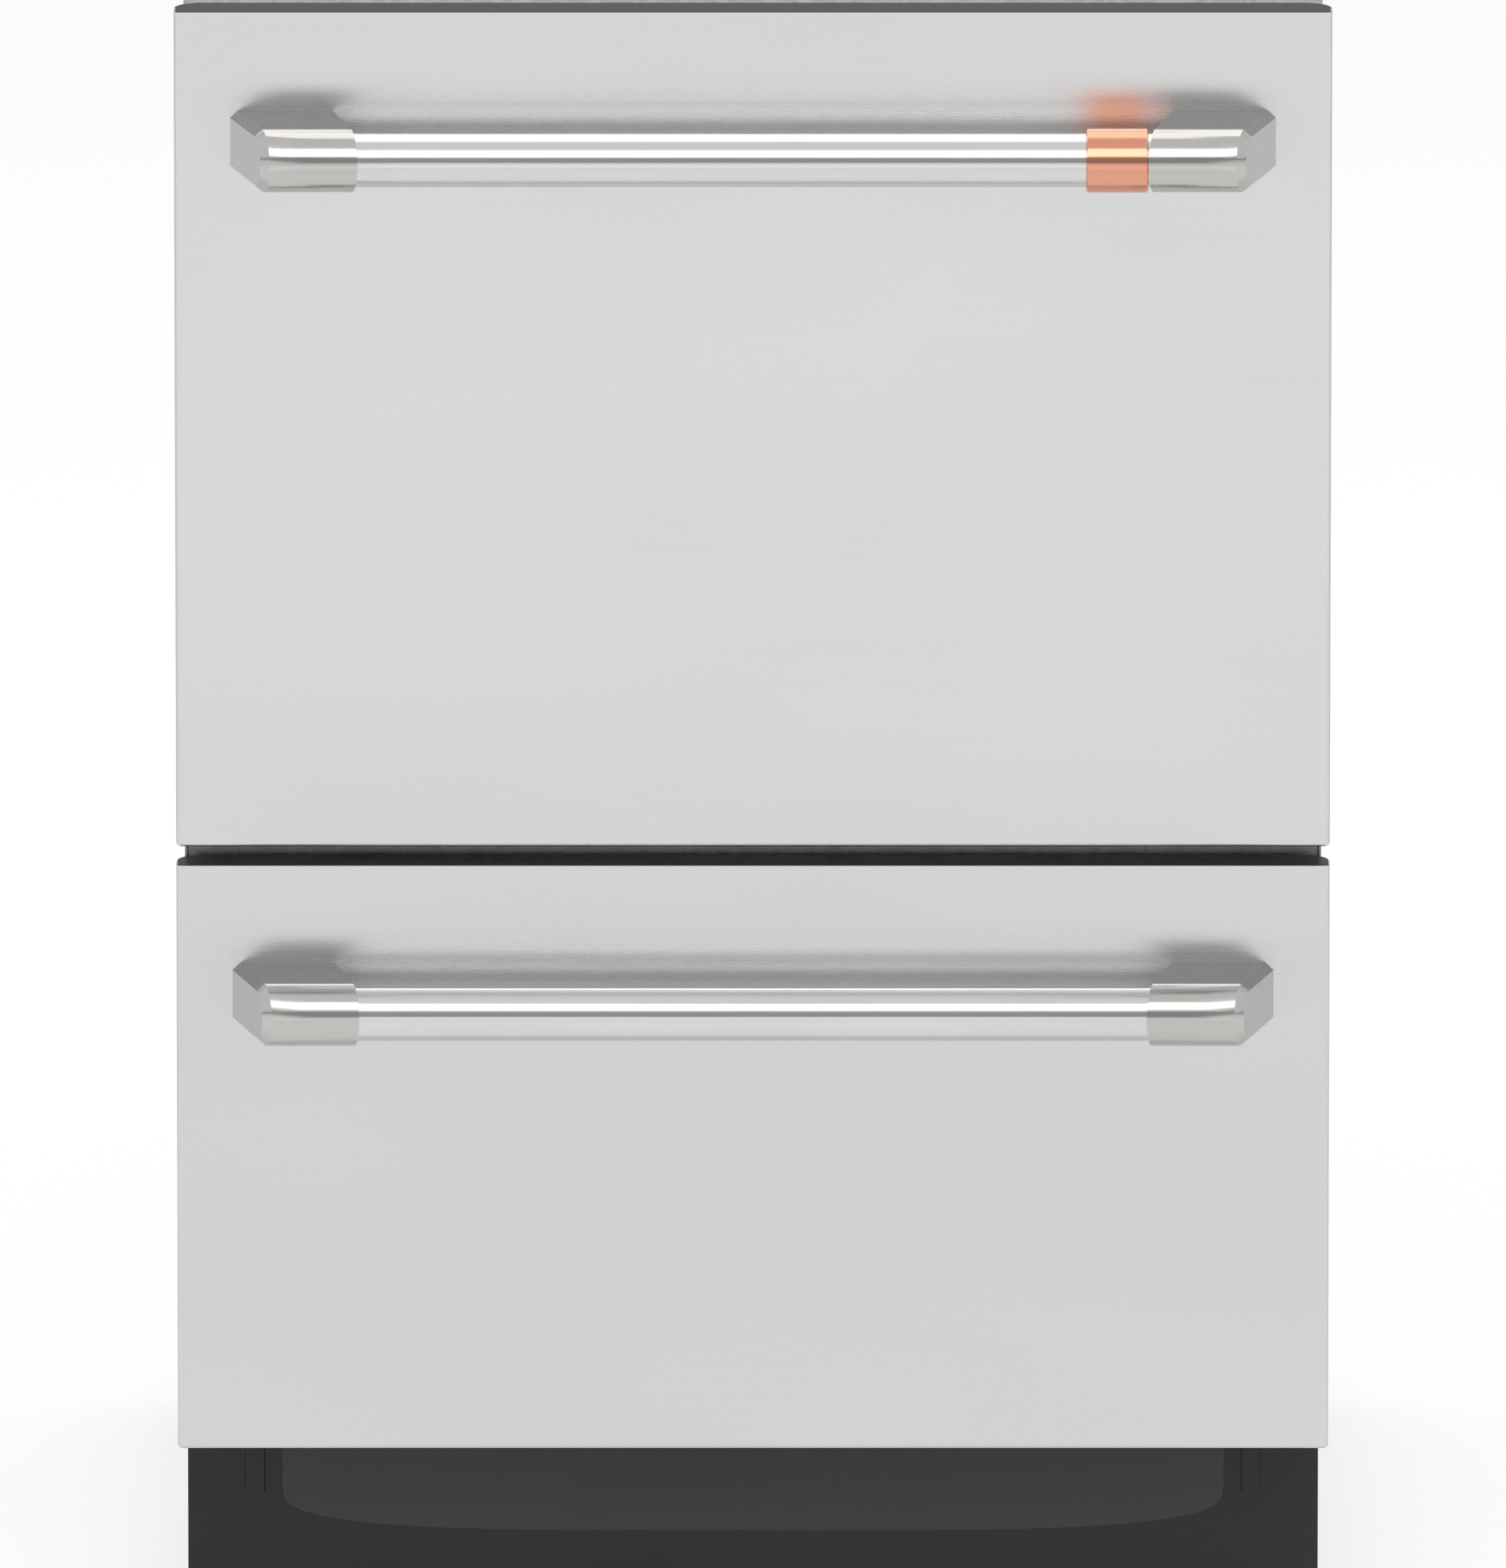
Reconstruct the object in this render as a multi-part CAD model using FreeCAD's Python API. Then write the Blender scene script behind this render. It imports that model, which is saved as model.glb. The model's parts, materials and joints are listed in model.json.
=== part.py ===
import FreeCAD, Part
import math
import os
from FreeCAD import Vector

# Whole machine, millimetres. X is right, -Y is the front, Z is up.
FRONT_WIDTH = 598.0
BODY_DEPTH = 573.0
TOE_SPACE = 103.4
UPPER_FRONT_HEIGHT = 440.3
LOWER_FRONT_HEIGHT = 310.3
FRONT_GAP = 10.0
TOUCH_GAP = 0.3

# Handles
HANDLE_AXIS_OUT = 50.0
HANDLE_DROP = 51.2
BAR_DIAMETER = 28.0
BRACKET_HEIGHT = 33.0
BRACKET_INSET = 29.0
BRACKET_WIDTH = 53.0
BRACKET_OUTER_LEAN = 0.26
BRACKET_INNER_LEAN = 0.2
BRACKET_CHAMFER = 4.0
SOCKET_DEPTH = 15.0
SOCKET_CLEARANCE = 0.1
RING_DIAMETER = 33.5
RING_WIDTH = 32.0

# Drawer fronts
SKIN = 1.0
SKIN_RETURN = 13.5
SKIN_BEND = 2.5
FRONT_DEPTH = 28.0
FRAME_WALL = 3.0
FRAME_EDGE = 8.0
FRAME_CLEARANCE = 0.2
STRIP_CORNER = 14.0
STRIP_THICKNESS = 6.0
STRIP_GROOVE = 1.6
FRAME_POCKETS_ACROSS = 3
FRAME_POCKETS_UP = 2

# Chassis
FRONT_OVERHANG = 4.0
SHEET = 1.5
FRONT_CLEARANCE = 3.0
TOP_SETBACK = 8.0
BASE_HEIGHT = 60.0
SIDE_NOTCH_GAP = 2.5
BEAD_WIDTH = 22.0
BEAD_HEIGHT = 1.4
FLANGE = 16.0
SERVICE_BAY_DEPTH = 45.0
SERVICE_BAY_HEIGHT = 90.0
TAB_WIDTH = 36.0
TAB_DEPTH = 20.0
TAB_INSET = 95.0
TAB_HOLE = 5.0
RAIL_DEPTH = 24.0
MIDDLE_RAIL_HEIGHT = 14.0

# Toe kick
TOE_RECESS = 75.0
TOE_BOTTOM = 12.0
TOE_TOP_GAP = 4.0
TOE_SHEET = 1.2
TOE_RETURN = 8.0
FACING_INSET = 53.1
FACING_BOTTOM = 42.5
FACING_SHOULDER = 66.0
FACING_THICKNESS = 0.8
FACING_SPREAD_POWER = 4.0
FACING_DROP_POWER = 3.0
CLIP_INSET = 35.0
CLIP_WIDTH = 10.0
CLIP_BOTTOM = 64.0
CLIP_THICKNESS = 1.6
FACING_STEPS = 16

# Feet
FOOT_SIDE_INSET = 33.0
FOOT_FRONT_INSET = 50.0
FOOT_REAR_INSET = 36.0
FOOT_RADIUS = 18.0
FOOT_PAD = 8.0
FOOT_NUT = 8.0
FOOT_STEM_RADIUS = 5.0
FOOT_STEM_LENGTH = 80.0
BUSH_RADIUS = 12.0
BUSH_NECK_RADIUS = 8.5
BUSH_DROP = 14.0
BUSH_RISE = 16.0

# Telescopic runners, measured inwards from the chassis side
RUNNER_LENGTH = 500.0
RUNNER_INNER_LENGTH = 480.0
RUNNER_HEIGHT = 46.0
RUNNER_METAL = 1.2
RUNNER_STEP = 0.4
RUNNER_LIP = 11.5
RUNNER_RISE = 44.0

# Tubs
TUB_SIDE_SPACE = 27.5
TUB_WALL = 3.0
TUB_CORNER = 35.0
TUB_RIM = 8.0
TUB_RIM_THICKNESS = 4.0
TUB_BACK_SPACE = 57.0
LEDGE_HEIGHT = 24.0
LEDGE_RIB = 2.5
LEDGE_RIBS = 5
SUMP_TOP_RADIUS = 100.0
SUMP_BOTTOM_RADIUS = 66.0
SUMP_DEPTH = 32.0
MECHANISM_CLEARANCE = 4.0
BASKET_POST = 24.0

# Pump, filter and spray arm
MOTOR_RADIUS = 48.0
MOTOR_HEIGHT = 44.0
SPINDLE_RADIUS = 4.0
SPINDLE_CLEARANCE = 0.4
IMPELLER_RADIUS = 32.0
IMPELLER_BLADES = 6
FILTER_PLATE = 3.0
FILTER_SLOTS = 10
FILTER_SLOT_LENGTH = 32.0
FILTER_SLOT_WIDTH = 3.0
TOWER_RADIUS = 16.0
TOWER_BORE = 11.0
TOWER_HEIGHT = 20.0
ARM_LENGTH = 195.0
ARM_ROOT_WIDTH = 38.0
ARM_TIP_WIDTH = 22.0
ARM_HEIGHT = 11.0
ARM_HUB_WALL = 5.0
ARM_CLEARANCE = 0.6
JETS_PER_SIDE = 3

# Baskets and what they carry
WIRE_SIDES = 6
TURNED_SIDES = 16
PIN_SIDES = 8
SOCKET_SIDES = 24
NOSE_SIDES = 24
RING_SIDES = 32
LID_CELLS_ACROSS = 3
LID_CELLS_DEEP = 2
CORNER_STEPS = 4
WIRE_RADIUS = 2.4
RIM_WIRE_RADIUS = 3.0
BASKET_SIDE_SPACE = 22.0
BASKET_FRONT_SPACE = 66.0
BASKET_BACK_SPACE = 14.0
BASKET_FLOOR_RISE = 39.0
BASKET_DRAFT = 10.0
UPPER_BASKET_HEADROOM = 116.0
LOWER_BASKET_HEADROOM = 31.0
WIRES_ACROSS = 7
WIRES_ALONG = 6
TINE_COUNT = 10
TINE_PITCH = 28.0
TINE_HEIGHT = 70.0
TINE_RADIUS = 1.7
CUTLERY_WIDTH = 76.0
CUTLERY_LENGTH = 220.0
CUTLERY_HEIGHT = 100.0
CUTLERY_WALL = 2.5
CUP_RACK_WIDTH = 84.0
CUP_RACK_LENGTH = 236.0
CUP_RACK_THICKNESS = 4.0
CUP_RACK_DROP = 46.0
CUP_SLOTS = 5

# Detergent dispenser
DISPENSER_WIDTH = 170.0
DISPENSER_HEIGHT = 62.0
DISPENSER_DEPTH = 13.0
DETERGENT_WIDTH = 74.0
DETERGENT_HEIGHT = 36.0
DISPENSER_DOOR = 2.5

# Lids and the mechanism that lowers them
LID_SETBACK = 14.0
LID_HEIGHT = 22.0
LID_WALL = 3.0
LID_HALF_GAP = 1.0
LID_CORNER = 42.0
LID_DROP = 8.0
SEAL_HEIGHT = 8.0
SEAL_WIDTH = 7.0
LINK_TRAVEL = 20.0
LINK_THICKNESS = 4.0
LINK_HEIGHT = 24.0
PIN_RADIUS = 3.0
SLOT_CLEARANCE = 0.5
CHANNEL_METAL = 1.5
CHANNEL_OUT = 12.5
CHANNEL_LEDGE = 4.5
ROD_REACH = 13.0
ROD_HEIGHT = 8.0
PIN_FRONT_INSET = 70.0
PIN_REAR_INSET = 70.0

# Services in the rear bay
VALVE_INSET = 105.0
VALVE_THREAD_RADIUS = 13.2
VALVE_THREAD_LENGTH = 16.0
DRAIN_INSET = 105.0
DRAIN_RADIUS = 10.5
DRAIN_LENGTH = 34.0
GLAND_X = 60.0
GLAND_RADIUS = 11.0
GLAND_BORE = 4.2
GLAND_LENGTH = 14.0
SERVICE_HEIGHT = 104.0

# Places worked out from the sizes above
INNER_EASE = (SKIN_BEND - SKIN) * 0.6
HANDLE_REACH = HANDLE_AXIS_OUT + max(BRACKET_HEIGHT, RING_DIAMETER) / 2
FACE_Y = (HANDLE_REACH - BODY_DEPTH) / 2
BACK_Y = FACE_Y + BODY_DEPTH
FRONT_HALF = FRONT_WIDTH / 2
OVERALL_HEIGHT = TOE_SPACE + LOWER_FRONT_HEIGHT + FRONT_GAP + UPPER_FRONT_HEIGHT
BRACKET_OUTER_X = FRONT_HALF - BRACKET_INSET
FRAME_BACK_Y = FACE_Y + FRONT_DEPTH
CHASSIS_HALF = FRONT_HALF - FRONT_OVERHANG
CHASSIS_INSIDE = CHASSIS_HALF - SHEET
CHASSIS_FRONT_Y = FRAME_BACK_Y + FRONT_CLEARANCE
CHASSIS_TOP = OVERALL_HEIGHT - TOP_SETBACK
TRAY_TOP = BASE_HEIGHT + SHEET
BAY_Y = BACK_Y - SERVICE_BAY_DEPTH
BAY_TOP = BASE_HEIGHT + SERVICE_BAY_HEIGHT
LOWER_BOTTOM = TOE_SPACE
UPPER_BOTTOM = LOWER_BOTTOM + LOWER_FRONT_HEIGHT + FRONT_GAP
NOTCH_Z = LOWER_BOTTOM - SIDE_NOTCH_GAP
TOE_Y = FACE_Y + TOE_RECESS
TOE_TOP = LOWER_BOTTOM - TOE_TOP_GAP
SIDE_LOW_FRONT_Y = TOE_Y + TOE_RETURN + TOE_SHEET
RUNNER_THICKNESS = RUNNER_LIP + RUNNER_STEP + RUNNER_METAL
LEDGE_X = CHASSIS_INSIDE - RUNNER_THICKNESS
RUNNER_FRONT_Y = CHASSIS_FRONT_Y + TUB_WALL / 2
FOOT_X = CHASSIS_HALF - FOOT_SIDE_INSET
CLIP_X = CHASSIS_HALF - CLIP_INSET
TAB_X = CHASSIS_HALF - TAB_INSET
VALVE_X = VALVE_INSET - CHASSIS_HALF
DRAIN_X = CHASSIS_HALF - DRAIN_INSET
TUB_HALF = CHASSIS_INSIDE - TUB_SIDE_SPACE
TUB_FRONT_Y = FRAME_BACK_Y + TUB_RIM
TUB_BACK_Y = BACK_Y - TUB_BACK_SPACE
TUB_MIDDLE_Y = (TUB_FRONT_Y + TUB_BACK_Y) / 2
MECHANISM_HEIGHT = SUMP_DEPTH + MOTOR_HEIGHT
BASKET_FRONT_Y = TUB_FRONT_Y + BASKET_FRONT_SPACE
BASKET_BACK_Y = TUB_BACK_Y - BASKET_BACK_SPACE
BASKET_HALF = TUB_HALF - BASKET_SIDE_SPACE
CHANNEL_WEB_X = CHASSIS_INSIDE - CHANNEL_OUT
LINK_X = CHANNEL_WEB_X - TOUCH_GAP - LINK_THICKNESS
LID_HALF = TUB_HALF + TUB_RIM - LID_HALF_GAP
LID_FRONT_Y = TUB_FRONT_Y - TUB_RIM + LID_HALF_GAP
LID_BACK_Y = TUB_BACK_Y + TUB_RIM - LID_HALF_GAP
PIN_PLACES_Y = (LID_FRONT_Y + PIN_FRONT_INSET, LID_BACK_Y - PIN_REAR_INSET)


class Drawer:
    """The heights and places that the pieces of one drawer share."""

    def __init__(self, name, bottom, height, basket_headroom):
        self.name = name
        self.bottom = bottom
        self.top = bottom + height
        self.strip_bottom = self.top - STRIP_THICKNESS
        self.handle_z = self.top - HANDLE_DROP - BRACKET_HEIGHT / 2
        self.lid_top = self.top - LID_SETBACK
        self.lid_bottom = self.lid_top - LID_HEIGHT
        self.seal_bottom = self.lid_bottom - SEAL_HEIGHT
        self.rim_top = self.seal_bottom - LID_DROP - TOUCH_GAP
        self.floor = bottom + MECHANISM_CLEARANCE + MECHANISM_HEIGHT
        self.floor_top = self.floor + TUB_WALL
        self.runner_z = self.floor + RUNNER_RISE
        self.sump_bottom = self.floor - SUMP_DEPTH
        self.basket_floor = self.floor_top + BASKET_FLOOR_RISE
        self.basket_rim = self.rim_top - basket_headroom
        self.pin_z = self.lid_top - LID_HEIGHT / 2


UPPER = Drawer("upper", UPPER_BOTTOM, UPPER_FRONT_HEIGHT, UPPER_BASKET_HEADROOM)
LOWER = Drawer("lower", LOWER_BOTTOM, LOWER_FRONT_HEIGHT, LOWER_BASKET_HEADROOM)


# Small helpers

def block(x0, x1, y0, y1, z0, z1):
    return Part.makeBox(x1 - x0, y1 - y0, z1 - z0, Vector(x0, y0, z0))


def join(shapes):
    return shapes[0].multiFuse(shapes[1:]).removeSplitter()


def cut(shape, tools):
    return shape.cut(Part.makeCompound(tools))


def mirrored(shape):
    return shape.mirror(Vector(0, 0, 0), Vector(1, 0, 0))


def both_sides(shape):
    return [shape, mirrored(shape)]


def group(shapes):
    return Part.makeCompound(shapes)


def polygon(points):
    return Part.Face(Part.makePolygon(points + points[:1]))


def across(points, x0, x1):
    """A profile of (y, z) points, drawn out along X."""
    face = polygon([Vector(x0, y, z) for y, z in points])
    return face.extrude(Vector(x1 - x0, 0, 0))


def along(points, y0, y1):
    """A profile of (x, z) points, drawn out along Y."""
    face = polygon([Vector(x, y0, z) for x, z in points])
    return face.extrude(Vector(0, y1 - y0, 0))


def upright(points, z0, z1):
    """A profile of (x, y) points, drawn out along Z."""
    face = polygon([Vector(x, y, z0) for x, y in points])
    return face.extrude(Vector(0, 0, z1 - z0))


def disc(x, y, z0, z1, radius):
    return Part.makeCylinder(radius, z1 - z0, Vector(x, y, z0))


def skinned(rings):
    """A flat-faced solid through matching rings of points."""
    faces = [polygon(rings[0]), polygon(rings[-1])]
    for lower, upper in zip(rings, rings[1:]):
        for corner in range(len(lower)):
            following = (corner + 1) % len(lower)
            faces.append(polygon([lower[corner], lower[following], upper[following], upper[corner]]))
    solid = Part.makeSolid(Part.makeShell(faces))
    if solid.Volume < 0:
        solid.reverse()
    return solid


def turned(x, y, levels, sides=TURNED_SIDES):
    """An upright turned piece with many flat sides, from (z, radius) levels."""
    rings = []
    for z, radius in levels:
        ring = []
        for side in range(sides):
            angle = 2 * math.pi * (side + 0.5) / sides
            ring.append(Vector(x + radius * math.cos(angle), y + radius * math.sin(angle), z))
        rings.append(ring)
    return skinned(rings)


def drum(x, y, z0, z1, radius, sides=TURNED_SIDES):
    return turned(x, y, [(z0, radius), (z1, radius)], sides)


def rod_x(x0, x1, y, z, radius):
    return Part.makeCylinder(radius, x1 - x0, Vector(x0, y, z), Vector(1, 0, 0))


def rod_y(x, y0, y1, z, radius):
    return Part.makeCylinder(radius, y1 - y0, Vector(x, y0, z), Vector(0, 1, 0))


def rounded(shape, radius, test):
    """Round the edges whose middle passes the test."""
    edges = [edge for edge in shape.Edges if test(edge.CenterOfMass)]
    return shape.makeFillet(radius, edges)


def eased_rectangle(x0, x1, y0, y1, radius, steps=CORNER_STEPS):
    """The outline of a rectangle whose corners turn in a few short flats."""
    points = []
    corners = [(x1 - radius, y1 - radius), (x0 + radius, y1 - radius), (x0 + radius, y0 + radius),
               (x1 - radius, y0 + radius)]
    for quarter, (x, y) in enumerate(corners):
        for step in range(steps + 1):
            angle = math.pi / 2 * (quarter + step / steps)
            points.append((x + radius * math.cos(angle), y + radius * math.sin(angle)))
    return points


def eased_slab(x0, x1, y0, y1, z0, z1, radius):
    return upright(eased_rectangle(x0, x1, y0, y1, radius), z0, z1)


def round_clear(radius, sides):
    """The corner radius of a flat-sided bore that just clears a round radius."""
    return radius / math.cos(math.pi / sides)


def wire_ring(centre, normal, side, stretch, radius, sides):
    """A ring with corners along the normal and flats across it, widened for a mitre."""
    ring = []
    for corner in range(sides):
        angle = 2 * math.pi * corner / sides
        offset = normal * (radius * math.cos(angle))
        offset += side * (radius * stretch * math.sin(angle))
        ring.append(centre + offset)
    return ring


def bent_wire(points, normal, radius, closed=False, sides=WIRE_SIDES):
    """A flat-sided wire through points that lie in one plane, mitred at each bend."""
    count = len(points)
    rings = []
    for index in range(count):
        directions = []
        if closed or index > 0:
            directions.append((points[index] - points[index - 1]).normalize())
        if closed or index < count - 1:
            directions.append((points[(index + 1) % count] - points[index]).normalize())
        tangent = sum(directions[1:], directions[0]).normalize()
        side = tangent.cross(normal).normalize()
        stretch = 1 / tangent.dot(directions[0])
        rings.append(wire_ring(points[index], normal, side, stretch, radius, sides))
    if not closed:
        return skinned(rings)
    return join([skinned([rings[index], rings[(index + 1) % count]]) for index in range(count)])


def bar_x(x0, x1, y, z, radius, sides=PIN_SIDES):
    return bent_wire([Vector(x0, y, z), Vector(x1, y, z)], Vector(0, 1, 0), radius, False, sides)


def bar_y(x, y0, y1, z, radius, sides=PIN_SIDES):
    return bent_wire([Vector(x, y0, z), Vector(x, y1, z)], Vector(1, 0, 0), radius, False, sides)


# Drawer fronts

def front_outline(z0, z1, inset):
    """The moulded part of a front: narrow inside the steel returns, wide behind them."""
    narrow_half = FRONT_HALF - SKIN - FRAME_CLEARANCE - inset
    wide_half = FRONT_HALF - FRAME_CLEARANCE - inset
    front_y = FACE_Y + SKIN + FRAME_CLEARANCE
    step_y = FACE_Y + SKIN_RETURN + FRAME_CLEARANCE
    narrow = block(-narrow_half, narrow_half, front_y, step_y, z0, z1)
    wide = block(-wide_half, wide_half, step_y, FRAME_BACK_Y, z0, z1)
    corners = [
        edge for edge in wide.Edges
        if edge.CenterOfMass.y > FRAME_BACK_Y - TOUCH_GAP and edge.BoundBox.ZLength > (z1 - z0) / 2
    ]
    return join([narrow, wide.makeFillet(STRIP_CORNER, corners)])


def front_panel(drawer):
    back = FACE_Y + SKIN_RETURN
    outer = block(-FRONT_HALF, FRONT_HALF, FACE_Y, back, drawer.bottom, drawer.top)
    inner = block(-FRONT_HALF + SKIN, FRONT_HALF - SKIN, FACE_Y + SKIN, back + SKIN,
                  drawer.bottom + SKIN, drawer.top + SKIN)

    def bent_edge(half, front_y, bottom, top):
        def test(middle):
            on_face = middle.y < front_y + SKIN / 10 and middle.z < top - SKIN / 10
            low_side = middle.z < bottom + SKIN / 10 and abs(middle.x) > half - SKIN / 10
            return on_face or low_side
        return test

    outer = rounded(outer, SKIN_BEND, bent_edge(FRONT_HALF, FACE_Y, drawer.bottom, drawer.top))
    inner_edges = [edge for edge in inner.Edges
                   if bent_edge(FRONT_HALF - SKIN, FACE_Y + SKIN, drawer.bottom + SKIN,
                                drawer.top + SKIN)(edge.CenterOfMass)]
    inner = inner.makeChamfer(INNER_EASE, inner_edges)
    return outer.cut(inner)


def corner_reliefs(z0, z1):
    """Wedges that take the moulding's front corners clear of the bends in the skin."""
    bend = SKIN_BEND
    ease = INNER_EASE + FRAME_CLEARANCE
    front_y = FACE_Y + SKIN
    half = FRONT_HALF - SKIN
    corner = [(half + bend, front_y - bend), (half + bend, front_y + bend + ease),
              (half - bend - ease, front_y - bend)]
    return both_sides(upright(corner, z0, z1))


def front_frame(drawer):
    low = drawer.bottom + SKIN + FRAME_CLEARANCE
    frame = front_outline(low, drawer.strip_bottom, 0)
    bend = SKIN_BEND
    ease = INNER_EASE + FRAME_CLEARANCE
    front_y = FACE_Y + SKIN
    inside = drawer.bottom + SKIN
    half = FRONT_HALF - SKIN
    relief = corner_reliefs(drawer.bottom, drawer.top)
    foot = [(front_y - bend, inside - bend), (front_y + bend + ease, inside - bend),
            (front_y - bend, inside + bend + ease)]
    relief.append(across(foot, -FRONT_WIDTH, FRONT_WIDTH))
    flank = [(half + bend, inside - bend), (half + bend, inside + bend + ease),
             (half - bend - ease, inside - bend)]
    relief += both_sides(along(flank, front_y - bend, FACE_Y + SKIN_RETURN + FRAME_CLEARANCE))
    pockets = []
    pocket_half = FRONT_HALF - SKIN - FRAME_EDGE
    step_x = (2 * pocket_half + FRAME_WALL) / FRAME_POCKETS_ACROSS
    pocket_low = low + FRAME_EDGE
    pocket_height = drawer.strip_bottom - FRAME_EDGE - pocket_low
    step_z = (pocket_height + FRAME_WALL) / FRAME_POCKETS_UP
    for column in range(FRAME_POCKETS_ACROSS):
        for row in range(FRAME_POCKETS_UP):
            x0 = -pocket_half + column * step_x
            z0 = pocket_low + row * step_z
            pockets.append(block(x0, x0 + step_x - FRAME_WALL, FACE_Y, FRAME_BACK_Y - FRAME_WALL,
                                 z0, z0 + step_z - FRAME_WALL))
    return cut(frame, relief + pockets)


def control_strip(drawer):
    strip = front_outline(drawer.strip_bottom, drawer.top, 0)
    front_y = FACE_Y + SKIN
    groove = [(front_y - STRIP_GROOVE, drawer.top + STRIP_GROOVE),
              (front_y + STRIP_GROOVE * 2, drawer.top + STRIP_GROOVE),
              (front_y - STRIP_GROOVE, drawer.top - STRIP_GROOVE * 2)]
    reliefs = corner_reliefs(drawer.bottom, drawer.top + SKIN)
    return cut(strip, reliefs + [across(groove, -FRONT_WIDTH, FRONT_WIDTH)])


# Handles

def handle_bracket(drawer):
    """The left bracket: flat above and below, round in front, with both ends leaning in."""
    radius = BRACKET_HEIGHT / 2
    axis_y = FACE_Y - HANDLE_AXIS_OUT
    reach = HANDLE_REACH + radius
    flat = block(-FRONT_HALF, 0, axis_y, FACE_Y, drawer.handle_z - radius, drawer.handle_z + radius)
    nose = bar_x(-FRONT_HALF, 0, axis_y, drawer.handle_z, radius, NOSE_SIDES)
    bar = join([flat, nose])
    inner_x = -BRACKET_OUTER_X + BRACKET_WIDTH
    plan = [(-BRACKET_OUTER_X, FACE_Y),
            (-BRACKET_OUTER_X + BRACKET_OUTER_LEAN * reach, FACE_Y - reach),
            (inner_x + BRACKET_INNER_LEAN * reach, FACE_Y - reach),
            (inner_x, FACE_Y)]
    bracket = bar.common(upright(plan, drawer.bottom, drawer.top))
    end_edges = [edge for edge in bracket.Edges
                 if on_outer_end(edge) and edge.CenterOfMass.y < FACE_Y - TOUCH_GAP]
    bracket = bracket.makeChamfer(BRACKET_CHAMFER, end_edges)
    socket_end = inner_x - SOCKET_DEPTH + BRACKET_INNER_LEAN * HANDLE_AXIS_OUT
    socket = bar_x(socket_end, 0, axis_y, drawer.handle_z, socket_radius(), SOCKET_SIDES)
    return bracket.cut(socket)


def socket_radius():
    return round_clear(BAR_DIAMETER / 2 + SOCKET_CLEARANCE, SOCKET_SIDES)


def on_outer_end(edge):
    for vertex in edge.Vertexes:
        depth = FACE_Y - vertex.Point.y
        end_x = -BRACKET_OUTER_X + BRACKET_OUTER_LEAN * depth
        if abs(vertex.Point.x - end_x) > TOUCH_GAP:
            return False
    return True


def handle_brackets(drawer):
    return group(both_sides(handle_bracket(drawer)))


def handle_bar(drawer):
    half = BRACKET_OUTER_X - BRACKET_WIDTH - BRACKET_INNER_LEAN * HANDLE_AXIS_OUT + SOCKET_DEPTH
    half -= SOCKET_CLEARANCE
    return rod_x(-half, half, FACE_Y - HANDLE_AXIS_OUT, drawer.handle_z, BAR_DIAMETER / 2)


def handle_ring(drawer):
    right = BRACKET_OUTER_X - BRACKET_WIDTH - BRACKET_INNER_LEAN * HANDLE_REACH - SOCKET_CLEARANCE
    axis_y = FACE_Y - HANDLE_AXIS_OUT
    radius = RING_DIAMETER / 2
    ring = bar_x(right - RING_WIDTH, right, axis_y, drawer.handle_z, radius, RING_SIDES)
    bore = bar_x(0, FRONT_HALF, axis_y, drawer.handle_z, socket_radius(), SOCKET_SIDES)
    return ring.cut(bore)


# Tubs and what is fixed to them

def tub(drawer):
    low = drawer.floor
    shell = eased_slab(-TUB_HALF, TUB_HALF, TUB_FRONT_Y, TUB_BACK_Y, low, drawer.rim_top, TUB_CORNER)
    rim = eased_slab(-TUB_HALF - TUB_RIM, TUB_HALF + TUB_RIM, TUB_FRONT_Y - TUB_RIM,
                       TUB_BACK_Y + TUB_RIM, drawer.rim_top - TUB_RIM_THICKNESS, drawer.rim_top,
                       TUB_CORNER + TUB_RIM)
    bowl = turned(0, TUB_MIDDLE_Y, [(drawer.sump_bottom, SUMP_BOTTOM_RADIUS + TUB_WALL),
                                    (low, SUMP_TOP_RADIUS + TUB_WALL)])
    pieces = [shell, rim, bowl] + tub_ledges(drawer) + front_pads(drawer)
    inside = eased_slab(-TUB_HALF + TUB_WALL, TUB_HALF - TUB_WALL, TUB_FRONT_Y + TUB_WALL,
                          TUB_BACK_Y - TUB_WALL, drawer.floor_top, drawer.rim_top + TUB_WALL,
                          TUB_CORNER - TUB_WALL)
    hollow = turned(0, TUB_MIDDLE_Y, [(drawer.sump_bottom + TUB_WALL, SUMP_BOTTOM_RADIUS),
                                      (drawer.floor_top, SUMP_TOP_RADIUS)])
    spindle = drum(0, TUB_MIDDLE_Y, drawer.sump_bottom + TUB_WALL / 2,
                   impeller_base(drawer) + SUMP_DEPTH / 4, SPINDLE_RADIUS, PIN_SIDES)
    body = cut(join(pieces), [inside, hollow])
    return join([body, spindle] + basket_posts(drawer))


def tub_ledges(drawer):
    """Ribbed ledges on the tub's sides that carry the inner runner members."""
    y0 = TUB_FRONT_Y + TUB_CORNER
    y1 = TUB_BACK_Y - TUB_CORNER
    low = drawer.runner_z - LEDGE_HEIGHT / 2
    high = drawer.runner_z + LEDGE_HEIGHT / 2
    root = TUB_HALF - TUB_WALL / 2
    ribs = [block(root, LEDGE_X, y0, y1, high - LEDGE_RIB, high),
            block(root, LEDGE_X, y0, y1, low, low + LEDGE_RIB)]
    step = (y1 - y0 - LEDGE_RIB) / (LEDGE_RIBS - 1)
    for index in range(LEDGE_RIBS):
        rib_y = y0 + index * step
        ribs.append(block(root, LEDGE_X, rib_y, rib_y + LEDGE_RIB, low, high))
    side = join(ribs)
    return both_sides(side)


def front_pads(drawer):
    """Two upright pads that fasten the tub's front wall to the front frame."""
    x0 = TUB_HALF - TUB_CORNER - BASKET_POST
    x1 = x0 + BASKET_POST
    pad = block(x0, x1, FRAME_BACK_Y, TUB_FRONT_Y + TUB_WALL / 2, drawer.floor, drawer.rim_top - TUB_WALL)
    return both_sides(pad)


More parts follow.
